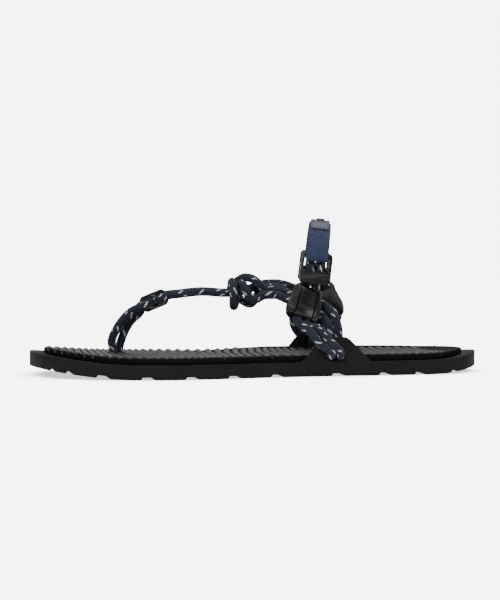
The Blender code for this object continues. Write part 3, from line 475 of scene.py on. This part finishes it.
def thread_material(name, colour):
    made, s, shader = start_material(name)
    twist = s.noise(5200.0, 2.0, s.place())
    s.put(shader.inputs["Base Color"], s.mix(twist, (*colour, 1), (*[1.8 * c for c in colour], 1)))
    shader.inputs["Roughness"].default_value = 0.7
    s.put(shader.inputs["Normal"], s.bump(twist, 0.0001, 0.6))
    return made


# Meshes

def add_object(name, mesh, material, nodes=(), smooth_angle=38):
    """A finished piece at the origin, riding on the sandal and standing for its nodes."""
    data = bpy.data.meshes.new(name)
    mesh.to_mesh(data)
    mesh.free()
    data.shade_smooth()
    data.set_sharp_from_angle(angle=math.radians(smooth_angle))
    obj = bpy.data.objects.new(name, data)
    bpy.context.scene.collection.objects.link(obj)
    data.materials.append(material)
    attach(obj, "root")
    if nodes:
        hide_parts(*nodes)
    return obj


def solid_of(node):
    """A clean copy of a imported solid, with its split edges joined."""
    mesh = bmesh.new()
    mesh.from_mesh(NODES[node].data)
    bmesh.ops.remove_doubles(mesh, verts=mesh.verts, dist=2e-6)
    bmesh.ops.dissolve_limit(mesh, angle_limit=math.radians(0.6), verts=mesh.verts,
                             edges=mesh.edges)
    mesh.normal_update()
    return mesh


def applied(obj):
    """Swap an object's modifiers for their result."""
    bpy.context.view_layer.update()
    graph = bpy.context.evaluated_depsgraph_get()
    data = bpy.data.meshes.new_from_object(obj.evaluated_get(graph))
    obj.modifiers.clear()
    obj.data = data
    return obj


def dress(node, piece, material, bevel, segments=2, angle=32, smooth_angle=38):
    """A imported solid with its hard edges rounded, in its finished material."""
    obj = add_object(piece, solid_of(node), material, (node,), smooth_angle)
    if bevel:
        step = obj.modifiers.new("round", "BEVEL")
        step.width = bevel
        step.segments = segments
        step.limit_method = "ANGLE"
        step.angle_limit = math.radians(angle)
        step.harden_normals = False
        step.use_clamp_overlap = True
        applied(obj)
        obj.data.shade_smooth()
        obj.data.set_sharp_from_angle(angle=math.radians(smooth_angle))
    return obj


def raised_line_tree():
    """Geometry nodes: a rounded ridge of the given size along the mesh's edges."""
    if "Raised line" in bpy.data.node_groups:
        return bpy.data.node_groups["Raised line"]
    tree = bpy.data.node_groups.new("Raised line", "GeometryNodeTree")
    tree.interface.new_socket("Lines", in_out="INPUT", socket_type="NodeSocketGeometry")
    for key, value in (("Half width", 0.001), ("Height", 0.001)):
        tree.interface.new_socket(key, in_out="INPUT",
                                  socket_type="NodeSocketFloat").default_value = value
    tree.interface.new_socket("Sides", in_out="INPUT",
                              socket_type="NodeSocketInt").default_value = 10
    tree.interface.new_socket("Material", in_out="INPUT", socket_type="NodeSocketMaterial")
    tree.interface.new_socket("Ridge", in_out="OUTPUT", socket_type="NodeSocketGeometry")
    s = Shader(tree)
    given = s.node("NodeGroupInput").outputs
    curve = s.node("GeometryNodeMeshToCurve")
    s.put(curve.inputs[0], given["Lines"])
    level = s.node("GeometryNodeSetCurveNormal", mode="Z_UP")
    s.put(level.inputs["Curve"], curve.outputs[0])
    thick = s.node("GeometryNodeInputNamedAttribute", data_type="FLOAT")
    thick.inputs["Name"].default_value = "thick"
    sized = s.node("GeometryNodeSetCurveRadius")
    s.put(sized.inputs["Curve"], level.outputs[0])
    s.put(sized.inputs["Radius"], thick.outputs["Attribute"])
    circle = s.node("GeometryNodeCurvePrimitiveCircle")
    s.put(circle.inputs["Resolution"], given["Sides"])
    circle.inputs["Radius"].default_value = 1.0
    shape = s.node("ShaderNodeCombineXYZ")
    s.put(shape.inputs[0], given["Half width"])
    s.put(shape.inputs[1], given["Height"])
    shape.inputs[2].default_value = 1.0
    flat = s.node("GeometryNodeTransform")
    s.put(flat.inputs["Geometry"], circle.outputs[0])
    s.put(flat.inputs["Scale"], shape.outputs[0])
    swept = s.node("GeometryNodeCurveToMesh")
    s.put(swept.inputs["Curve"], sized.outputs[0])
    s.put(swept.inputs["Profile Curve"], flat.outputs[0])
    swept.inputs["Fill Caps"].default_value = True
    s.put(swept.inputs["Scale"], thick.outputs["Attribute"])
    return finish_tree(s, swept.outputs[0], given["Material"], "Ridge")


def stitch_tree():
    """Geometry nodes: one short stitch after another along the mesh's edges."""
    if "Stitch row" in bpy.data.node_groups:
        return bpy.data.node_groups["Stitch row"]
    tree = bpy.data.node_groups.new("Stitch row", "GeometryNodeTree")
    tree.interface.new_socket("Lines", in_out="INPUT", socket_type="NodeSocketGeometry")
    for key, value in (("Pitch", 0.002), ("Length", 0.0015), ("Thread", 0.0003)):
        tree.interface.new_socket(key, in_out="INPUT",
                                  socket_type="NodeSocketFloat").default_value = value
    tree.interface.new_socket("Material", in_out="INPUT", socket_type="NodeSocketMaterial")
    tree.interface.new_socket("Stitches", in_out="OUTPUT", socket_type="NodeSocketGeometry")
    s = Shader(tree)
    given = s.node("NodeGroupInput").outputs
    curve = s.node("GeometryNodeMeshToCurve")
    s.put(curve.inputs[0], given["Lines"])
    points = s.node("GeometryNodeCurveToPoints", mode="LENGTH")
    s.put(points.inputs["Curve"], curve.outputs[0])
    s.put(points.inputs["Length"], given["Pitch"])
    bead = s.node("GeometryNodeMeshUVSphere")
    bead.inputs["Segments"].default_value = 8
    bead.inputs["Rings"].default_value = 6
    bead.inputs["Radius"].default_value = 0.5
    shape = s.node("ShaderNodeCombineXYZ")
    s.put(shape.inputs[0], given["Thread"])
    s.put(shape.inputs[1], given["Thread"])
    s.put(shape.inputs[2], given["Length"])
    placed = s.node("GeometryNodeInstanceOnPoints")
    s.put(placed.inputs["Points"], points.outputs["Points"])
    s.put(placed.inputs["Instance"], bead.outputs["Mesh"])
    s.put(placed.inputs["Rotation"], points.outputs["Rotation"])
    s.put(placed.inputs["Scale"], shape.outputs[0])
    return finish_tree(s, placed.outputs[0], given["Material"], "Stitches")


def finish_tree(s, geometry, material, key):
    """End a tree: real meshes, smooth faces and one material."""
    real = s.node("GeometryNodeRealizeInstances")
    s.put(real.inputs[0], geometry)
    smooth = s.node("GeometryNodeSetShadeSmooth")
    s.put(smooth.inputs["Geometry"], real.outputs[0])
    painted = s.node("GeometryNodeSetMaterial")
    s.put(painted.inputs["Geometry"], smooth.outputs[0])
    s.put(painted.inputs["Material"], material)
    s.put(s.node("NodeGroupOutput").inputs[key], painted.outputs[0])
    return s.tree


def add_lines(name, lines, tree, values, material, nodes=()):
    """Sweep or stitch along lines of points with one of the trees above. A line is
    points, or points with their share of the full thickness."""
    data = bpy.data.meshes.new(name)
    places, edges, thick = [], [], []
    for line in lines:
        for i, point in enumerate(line):
            place, share = point if isinstance(point, tuple) else (point, 1.0)
            if i:
                edges.append((len(places) - 1, len(places)))
            places.append(place)
            thick.append(share)
    data.from_pydata(places, edges, [])
    data.attributes.new("thick", "FLOAT", "POINT").data.foreach_set("value", thick)
    obj = bpy.data.objects.new(name, data)
    bpy.context.scene.collection.objects.link(obj)
    step = obj.modifiers.new("tree", "NODES")
    step.node_group = tree
    for socket in tree.interface.items_tree:
        if socket.in_out == "INPUT" and socket.name in values:
            step[socket.identifier] = values[socket.name]
        if socket.in_out == "INPUT" and socket.name == "Material":
            step[socket.identifier] = material
    applied(obj)
    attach(obj, "root")
    if nodes:
        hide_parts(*nodes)
    return obj


def smooth_route(points, step):
    """Evenly spaced points along a smooth curve through the given ones."""
    count = len(points)
    fine = []
    for i in range(count - 1):
        a, b, c, d = (points[min(max(i + k, 0), count - 1)] for k in (-1, 0, 1, 2))
        for j in range(14):
            t = j / 14
            fine.append(0.5 * (2 * b + (c - a) * t + (2 * a - 5 * b + 4 * c - d) * t**2
                               + (3 * b - a - 3 * c + d) * t**3))
    fine.append(points[-1])
    for _ in range(6):
        fine = [fine[0]] + [0.25 * p + 0.5 * q + 0.25 * r
                            for p, q, r in zip(fine, fine[1:], fine[2:])] + [fine[-1]]
    lengths = [0.0]
    for p, q in zip(fine, fine[1:]):
        lengths.append(lengths[-1] + (q - p).length)
    total = lengths[-1]
    number = max(8, round(total / step))
    made = []
    at = 0
    for i in range(number + 1):
        want = total * i / number
        while at < len(fine) - 2 and lengths[at + 1] < want:
            at += 1
        part = (want - lengths[at]) / max(lengths[at + 1] - lengths[at], 1e-12)
        made.append(fine[at].lerp(fine[at + 1], min(1.0, max(0.0, part))))
    return made, total


def add_tube(mesh, layer, points, radius, sides=28, step=0.0007, start=0.0, spin=0.0,
             round_ends=False):
    """A round rope in the mesh, with shares round it and metres along it in its UV map."""
    line, total = smooth_route(points, step)
    way = (line[1] - line[0]).normalized()
    side = way.orthogonal().normalized()
    rings, runs = [], []
    for i, place in enumerate(line):
        ahead = (line[min(i + 1, len(line) - 1)] - line[max(i - 1, 0)]).normalized()
        side = (side - ahead * side.dot(ahead)).normalized()
        up = ahead.cross(side)
        size = radius
        if round_ends:
            near = min(i, len(line) - 1 - i) * total / (len(line) - 1)
            size = radius * math.sqrt(max(0.02, 1 - max(0.0, 1 - near / radius) ** 2))
        rings.append([mesh.verts.new(place + size * (
            side * math.cos(2 * math.pi * k / sides) + up * math.sin(2 * math.pi * k / sides)))
            for k in range(sides)])
        runs.append(start + total * i / (len(line) - 1))
    for low, high, v0, v1 in zip(rings, rings[1:], runs, runs[1:]):
        for k in range(sides):
            n = (k + 1) % sides
            face = mesh.faces.new((low[k], low[n], high[n], high[k]))
            for loop, u, v in zip(face.loops, (k, k + 1, k + 1, k), (v0, v0, v1, v1)):
                loop[layer].uv = (u / sides + spin, v)
    mesh.faces.new(list(reversed(rings[0])))
    mesh.faces.new(rings[-1])
    return total


def route(name):
    return [Vector(p) / 1000 for p in ROUTES_MM[name]]


def make_ropes():
    """The toe cords, the side cords and the knot, each a braided rope."""
    braid = rope_material()
    radius = settings().rope_radius
    for name, start, spin in (("toe_cord_outer", 0.004, 0.30), ("toe_cord_inner", 0.009, 0.55),
                              ("side_cord_outer", 0.002, 0.10),
                              ("side_cord_inner", 0.006, 0.70)):
        mesh = bmesh.new()
        layer = mesh.loops.layers.uv.new("run")
        add_tube(mesh, layer, route(name), radius, start=start, spin=spin)
        add_object(name + "_rope", mesh, braid, (name,), 60)
    mesh = bmesh.new()
    layer = mesh.loops.layers.uv.new("run")
    for key, start in (("through", 0.003), ("wrap", 0.007), ("arch", 0.0)):
        points = [KNOT_PLACE + Vector(p) / 1000 for p in KNOT_MM[key]]
        add_tube(mesh, layer, points, radius, start=start, spin=start * 60)
    add_object("knot_rope", mesh, braid, ("knot",), 60)


# Sole

def deck(x):
    """Top of the outsole between its edges."""
    share = x / SOLE_LENGTH + 0.5
    if share < TOE_SPRING_START:
        past = (TOE_SPRING_START - share) / TOE_SPRING_START
        return SOLE_THICKNESS + TOE_SPRING * past ** SPRING_POWER
    if share > HEEL_SPRING_START:
        past = (share - HEEL_SPRING_START) / (1 - HEEL_SPRING_START)
        return SOLE_THICKNESS + HEEL_SPRING * past ** SPRING_POWER
    return SOLE_THICKNESS


def make_sole():
    rubber = moulded_material("sole_rubber", settings().rubber_colour, 0.66, 1800.0,
                              0.00006, 0.07, shine=0.28)
    dress("outsole", "outsole_skin", rubber, 0.0005, 2, 30)


def rib_wave(x, across):
    """How far a rib runs along the sole from its own place, at this share across. The
    ribs lean one way and the other along the sole, and one way only under the heel."""
    part = min(1.0, max(0.0, (x - 0.010) / 0.050))
    heel = part * part * (3 - 2 * part)
    lean = RIB_LEAN * math.cos(2 * math.pi * (x + 0.105) / RIB_LEAN_RUN) * (1 - heel)
    lean -= RIB_LEAN_HEEL * heel
    return RIB_SWING * math.sin(2 * math.pi * 0.95 * across + 0.4) + lean * (across - 0.5)


def make_footbed():
    """The footbed, with leaning ribs that end in lobes at its two edges."""
    foam = moulded_material("footbed_foam", settings().foam_colour, 0.80, 2200.0,
                            0.00005, 0.03, shine=0.15)
    dress("footbed", "footbed_skin", foam, 0.0006, 2, 28)
    ribs_look = moulded_material("footbed_ribs", settings().rib_colour,
                                 0.50, 2600.0, 0.00004, 0.30, 0.0, (0.080, 0.077, 0.073, 1))
    solid = solid_of("footbed")
    bmesh.ops.triangulate(solid, faces=solid.faces)
    surface = BVHTree.FromBMesh(solid)
    solid.free()
    reach = SOLE_LENGTH / 2 - FOOTBED_END

    def edge_at(x, side):
        """Where the footbed's edge is at x, on this side."""
        low = deck(x) + FOOTBED_THICKNESS * 0.55
        hit = surface.ray_cast(Vector((x, side * 0.1, low)), Vector((0, -side, 0)))
        return hit[0].y if hit[0] is not None else None

    lines = []
    x = -reach + 0.0030
    while x < reach - 0.0180:
        pitch = settings().rib_pitch * (1 + 0.12 * math.sin((x + 0.02) * 18))
        near, far = edge_at(x, -1), edge_at(x, 1)
        if near is None or far is None:
            x += pitch
            continue
        line = []
        number = 84
        for i in range(number + 1):
            share = i / number
            y = near + (far - near) * share
            at = x + rib_wave(x, share)
            own_near, own_far = edge_at(at, -1), edge_at(at, 1)
            point = None
            if (abs(at) < reach - 0.0012 and own_near is not None and own_far is not None
                    and own_near + 0.0002 <= y <= own_far - 0.0002):
                inside = min(max(y, own_near + 0.0012), own_far - 0.0012)
                hit = surface.ray_cast(Vector((at, inside, 0.08)), Vector((0, 0, -1)))[0]
                if hit is not None and (deck(at) + FOOTBED_THICKNESS * 0.8 <= hit.z
                                        <= deck(at) + FOOTBED_THICKNESS * 1.6):
                    edge = min(y - own_near, own_far - y)
                    strong = 1.0 + 0.08 * max(0.0, 1 - edge / 0.008)
                    point = (Vector((at, y, hit.z - 0.00035)), strong)
            if point is not None:
                line.append(point)
            elif line:
                lines.append(line)
                line = []
        lines.append(line)
        x += pitch
    lines = [line for line in lines if len(line) > 3]
    add_lines("footbed_ribs", lines, raised_line_tree(),
              {"Half width": settings().rib_pitch * 0.35, "Height": settings().rib_height,
               "Sides": 12}, ribs_look)


# Plastic parts

def lock_matrix(word):
    """Middle of a cord lock: width along X, outward along Y, up along Z."""
    top, bottom = LOCK_ENDS[word]
    z = (top - bottom).normalized()
    out = Vector((0, -1 if word == "outer" else 1, 0))
    y = (out - z * out.dot(z)).normalized()
    x = y.cross(z)
    x = -x if x.x < 0 else x
    rows = [(x[k], y[k], z[k], (top[k] + bottom[k]) / 2) for k in range(3)]
    return Matrix(rows + [(0, 0, 0, 1)])


def lock_lines(word):
    """Ridges on a lock's toe-side wing, and the two bowed lines on its panel."""
    matrix = lock_matrix(word)
    edge = -LOCK_PANEL / 2
    surface = BVHTree.FromBMesh(joined(solid_of("lock_body_" + word),
                                       solid_of("lock_wedge_" + word)))
    out = (matrix.to_3x3() @ Vector((0, 1, 0))).normalized()

    def on_front(x, z):
        start = matrix @ Vector((x, LOCK_DEPTH, z))
        hit = surface.ray_cast(start, -out, LOCK_DEPTH)[0]
        return hit if hit is not None else matrix @ Vector((x, LOCK_DEPTH * 0.44, z))

    ridges = []
    for i in range(LOCK_RIDGE_COUNT):
        x = edge - 0.0008 - LOCK_RIDGE_PITCH * i
        low = 0.44 - 0.012 * i
        ridges.append([on_front(x, LOCK_LENGTH * (-low + (2 * low) * k / 12))
                       for k in range(13)])
    bows = []
    for drop in (0.20, 0.25):
        bows.append([on_front(LOCK_PANEL * 0.40 * k / 6,
                              -LOCK_LENGTH * (drop + 0.035 * (1 - (k / 6) ** 2)))
                     for k in range(-6, 7)])
    return ridges + bows


def joined(first, second):
    """Two bmeshes in one, triangulated."""
    data = bpy.data.meshes.new("joined")
    second.to_mesh(data)
    second.free()
    first.from_mesh(data)
    bpy.data.meshes.remove(data)
    bmesh.ops.triangulate(first, faces=first.faces)
    return first


def make_plastic():
    """The slider, the cord locks with their ridges, and the strap frames."""
    plain = moulded_material("black_plastic", settings().plastic_colour, 0.31, 3000.0,
                             0.00001, 0.01, 0.25, shine=0.45)
    gloss = moulded_material("frame_plastic", settings().plastic_colour, 0.27, 1500.0,
                             0.00001, 0.02, 0.9)
    # Painted highlight: the locks' ridges and bowed lines get a plastic seven times lighter than
    # the rest, standing in for the highlights on their edges
    worn_fleck_and_ridge_highlight = moulded_material("lock_ridge_highlight", [7 * c for c in settings().plastic_colour], 0.34,
                            3000.0, 0.00001, 0.05, 0.3)
    dress("slider", "slider_skin", plain, 0.0003)
    for word in ("outer", "inner"):
        dress("lock_body_" + word, "lock_body_" + word + "_skin", plain,
              0.0006, 3, 26, 50)
        dress("lock_wedge_" + word, "lock_wedge_" + word + "_skin", plain,
              0.0003, 2, 26)
        add_lines("lock_ridges_" + word, lock_lines(word), raised_line_tree(),
                  {"Half width": 0.00026, "Height": 0.00030, "Sides": 6}, worn_fleck_and_ridge_highlight)
        dress("strap_frame_" + word, "strap_frame_" + word + "_skin", gloss,
              0.0009, 4, 30, 50)


# Heel strap

def loop_matrix():
    """Width along X, span along Y and height along Z of the heel strap's loop."""
    turn = Matrix.Rotation(LOOP_TURN, 4, "Z")
    return Matrix.Translation(LOOP_PLACE) @ turn @ Matrix.Rotation(LOOP_LEAN, 4, "Y")


def arch_point(radius, angle):
    """Span and height in the loop, at this radius and angle from its top."""
    return Vector((radius * math.sin(angle),
                   ARCH_HEIGHT - ARCH_RADIUS + radius * math.cos(angle)))


def strap_line():
    """Middle of the webbing, with both of its ends folded round a frame's bar."""
    bar = arch_point(ARCH_RADIUS, -ARCH_SWEEP)
    outward = Vector((-math.sin(ARCH_SWEEP), math.cos(ARCH_SWEEP)))
    upward = Vector((math.cos(ARCH_SWEEP), math.sin(ARCH_SWEEP)))
    leg = [bar - outward * FOLD_RADIUS + upward * RETURN_LENGTH * share
           for share in (1.0, 0.75, 0.5, 0.25)]
    for degrees in range(0, 181, 15):
        a = math.radians(degrees)
        leg.append(bar - FOLD_RADIUS * (outward * math.cos(a) + upward * math.sin(a)))
    over = [arch_point(ARCH_RADIUS + FOLD_RADIUS, ARCH_SWEEP * 0.93 * i / 12)
            for i in range(-12, 13)]
    return leg + over + [Vector((-p.x, p.y)) for p in reversed(leg)]


def add_band(name, line, ply, width, material, nodes, columns=14, start=0.0,
             corner=0.0):
    """A cloth band whose middle follows a line in the loop. Its UV map holds the share
    across and the run along."""
    points, total = smooth_route([Vector((0, p.x, p.y)) for p in line], 0.0005)
    mesh = bmesh.new()
    layer = mesh.loops.layers.uv.new("run")
    matrix = loop_matrix()
    rings, runs = [], []
    last = len(points) - 1
    for i, point in enumerate(points):
        way = (points[min(i + 1, last)] - points[max(i - 1, 0)]).normalized()
        out = Vector((0, -way.z, way.y))
        near_end = min(i, last - i) * total / last
        slim = 1.0
        if corner and near_end < corner:
            slim = 1 - 0.16 * (1 - math.sqrt(1 - (1 - near_end / corner) ** 2))
        ring = []
        for side in (1, -1):
            for k in range(columns + 1):
                share = k / columns if side > 0 else 1 - k / columns
                thin = 1 - 0.60 * abs(2 * share - 1) ** 9
                ring.append((mesh.verts.new(matrix @ (
                    point + out * side * ply / 2 * thin
                    + Vector(((share - 0.5) * width * slim, 0, 0)))), share))
        rings.append(ring)
        runs.append(start + total * i / last)
    for low, high, v0, v1 in zip(rings, rings[1:], runs, runs[1:]):
        for k in range(len(low)):
            n = (k + 1) % len(low)
            face = mesh.faces.new((low[k][0], high[k][0], high[n][0], low[n][0]))
            for loop, u, v in zip(face.loops, (low[k][1], high[k][1], high[n][1], low[n][1]),
                                  (v0, v1, v1, v0)):
                loop[layer].uv = (u, v)
    mesh.faces.new([v for v, _ in rings[0]])
    mesh.faces.new([v for v, _ in reversed(rings[-1])])
    bmesh.ops.recalc_face_normals(mesh, faces=mesh.faces)
    return add_object(name, mesh, material, nodes, 50)


def on_strap(radius, angle, across):
    """A place over the strap, at this angle from its top and this far across it."""
    at = arch_point(radius, angle)
    return loop_matrix() @ Vector((across, at.x, at.y))


def make_strap():
    """The webbing, its lining and its patch, with their stitches."""
    webbing = webbing_material()
    lining = knit_material()
    rubber = moulded_material("patch_navy", settings().patch_colour, 0.46, 2400.0,
                              0.00003, 0.10)
    thread = thread_material("strap_thread", settings().thread_colour)
    add_band("heel_strap_webbing", strap_line(), STRAP_PLY, STRAP_WIDTH, webbing,
             ("heel_strap",))
    dress("strap_lining", "strap_lining_knit", lining, 0.0002, 2, 60)
    dress("strap_patch", "strap_patch_skin", rubber, 0.00025, 3, 40)
    above = ARCH_RADIUS + FOLD_RADIUS + STRAP_PLY / 2
    top = above + SEAM_GAP + PATCH_PLY
    half = PATCH_LENGTH / 2 / top
    edge = PATCH_WIDTH / 2 - 0.0011
    rows = [[on_strap(top + 0.00005, half * 0.96 * i / 40, side * edge)
             for i in range(-40, 41)] for side in (-1, 1)]
    rows += [[on_strap(top + 0.00005, side * (half - 0.0011 / top), edge * i / 8)
              for i in range(-8, 9)] for side in (-1, 1)]
    add_lines("patch_stitches", rows, stitch_tree(),
              {"Pitch": settings().stitch_length * 1.3, "Length": settings().stitch_length,
               "Thread": 0.00055}, thread)
    zigzags = []
    for side in (-1, 1):
        for run in (0.0016, 0.0040):
            turns = 9
            zigzags.append([
                on_strap(above + 0.0001, side * (half + (run + 0.0010 * (-1) ** i) / above),
                         (STRAP_WIDTH - 0.0018) * (i / turns - 0.5))
                for i in range(turns + 1)])
    add_lines("strap_zigzag", zigzags, raised_line_tree(),
              {"Half width": 0.00032, "Height": 0.00030, "Sides": 6}, thread)


# Studio

def make_stage():
    """The camera, a white sweep behind and below the sandal with a painted contact shadow, and its
    lights.
    """
    scene = bpy.context.scene
    lens = bpy.data.cameras.new("camera")
    camera = bpy.data.objects.new("camera", lens)
    scene.collection.objects.link(camera)
    camera.location = CAMERA_PLACE
    camera.rotation_euler = (CAMERA_AIM - CAMERA_PLACE).to_track_quat("-Z", "Y").to_euler()
    lens.lens = CAMERA_LENS
    lens.sensor_width = 36
    lens.clip_start = 0.05
    lens.clip_end = 30
    scene.camera = camera
    mesh = bmesh.new()
    profile = [(-2.5, 0.0), (1.2, 0.0)]
    for i in range(1, 13):
        a = math.pi / 2 * i / 12
        profile.append((1.2 + 0.8 * math.sin(a), 0.8 - 0.8 * math.cos(a)))
    profile.append((2.0, 4.0))
    rows = [[mesh.verts.new((x, y, z)) for y, z in profile] for x in (-4.0, 4.0)]
    for i in range(len(profile) - 1):
        mesh.faces.new((rows[0][i], rows[1][i], rows[1][i + 1], rows[0][i + 1]))
    data = bpy.data.meshes.new("sweep")
    mesh.to_mesh(data)
    mesh.free()
    data.shade_smooth()
    sweep = bpy.data.objects.new("sweep", data)
    scene.collection.objects.link(sweep)
    made, s, shader = start_material("studio_white")
    shader.inputs["Base Color"].default_value = (0.80, 0.80, 0.80, 1)
    shader.inputs["Roughness"].default_value = 0.9
    shader.inputs["Specular IOR Level"].default_value = 0.0
    shader.inputs["Emission Color"].default_value = (1, 1, 1, 1)
    # Painted shadow: the sweep's glow towards the camera is dimmed by ambient occlusion near the
    # sandal, a painted contact shadow
    near = s.node("ShaderNodeAmbientOcclusion", samples=16)
    near.inputs["Distance"].default_value = 0.030
    glow_with_painted_shadow = s.spread(near.outputs["AO"], 0.15, 0.95, 1.0, FLOOR_AS_SEEN)
    direct = s.node("ShaderNodeLightPath").outputs["Is Camera Ray"]
    s.put(shader.inputs["Emission Strength"], s.spread(direct, 0.0, 1.0, FLOOR_AS_LIGHT, glow_with_painted_shadow))
    data.materials.append(made)
    world = bpy.data.worlds.new("studio")
    world.use_nodes = True
    world.node_tree.nodes["Background"].inputs[0].default_value = (1, 1, 1, 1)
    world.node_tree.nodes["Background"].inputs[1].default_value = WORLD_LIGHT
    scene.world = world
    for name, place, size, power, target in LAMPS:
        lamp = bpy.data.lights.new(name, "AREA")
        lamp.energy = power
        lamp.size = size
        light = bpy.data.objects.new(name, lamp)
        light.location = place
        way = Vector(target) - Vector(place)
        light.rotation_euler = way.to_track_quat("-Z", "Y").to_euler()
        scene.collection.objects.link(light)


# Operators

class SANDAL_OT_stage(bpy.types.Operator):
    """Make the camera, the white sweep and the lights."""

    bl_idname = "sandal.stage"
    bl_label = "Studio"

    def execute(self, context):
        make_stage()
        return {"FINISHED"}


class SANDAL_OT_ropes(bpy.types.Operator):
    """Make the toe cords, the knot and the side cords."""

    bl_idname = "sandal.ropes"
    bl_label = "Ropes and knot"

    def execute(self, context):
        make_ropes()
        return {"FINISHED"}


class SANDAL_OT_sole(bpy.types.Operator):
    """Make the outsole's surface."""

    bl_idname = "sandal.sole"
    bl_label = "Outsole"

    def execute(self, context):
        make_sole()
        return {"FINISHED"}


class SANDAL_OT_footbed(bpy.types.Operator):
    """Make the footbed and its ribs."""

    bl_idname = "sandal.footbed"
    bl_label = "Footbed"

    def execute(self, context):
        make_footbed()
        return {"FINISHED"}


class SANDAL_OT_plastic(bpy.types.Operator):
    """Make the slider, the cord locks and the strap frames."""

    bl_idname = "sandal.plastic"
    bl_label = "Plastic parts"

    def execute(self, context):
        make_plastic()
        return {"FINISHED"}


class SANDAL_OT_strap(bpy.types.Operator):
    """Make the heel strap, its lining and its patch."""

    bl_idname = "sandal.strap"
    bl_label = "Heel strap"

    def execute(self, context):
        make_strap()
        return {"FINISHED"}


class SANDAL_PT_panel(bpy.types.Panel):
    """Sizes, colours and one button for each group of pieces."""

    bl_idname = "SANDAL_PT_panel"
    bl_label = "Rope sandal"
    bl_space_type = "VIEW_3D"
    bl_region_type = "UI"
    bl_category = "Sandal"

    def draw(self, context):
        for key in SandalSettings.__annotations__:
            self.layout.prop(context.scene.sandal, key)
        for name in STEPS:
            self.layout.operator("sandal." + name)


STEPS = ("stage", "sole", "footbed", "ropes", "plastic", "strap")
CLASSES = (SandalSettings, SANDAL_OT_stage, SANDAL_OT_sole, SANDAL_OT_footbed,
           SANDAL_OT_ropes, SANDAL_OT_plastic, SANDAL_OT_strap, SANDAL_PT_panel)


def register():
    for cls in CLASSES:
        bpy.utils.register_class(cls)
    bpy.types.Scene.sandal = bpy.props.PointerProperty(type=SandalSettings)


def unregister():
    del bpy.types.Scene.sandal
    for cls in reversed(CLASSES):
        bpy.utils.unregister_class(cls)


def build():
    """Register the add-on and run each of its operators."""
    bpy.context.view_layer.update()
    register()
    for name in STEPS:
        getattr(bpy.ops.sandal, name)()
    bpy.context.view_layer.update()


if __name__ == "__main__":
    build()
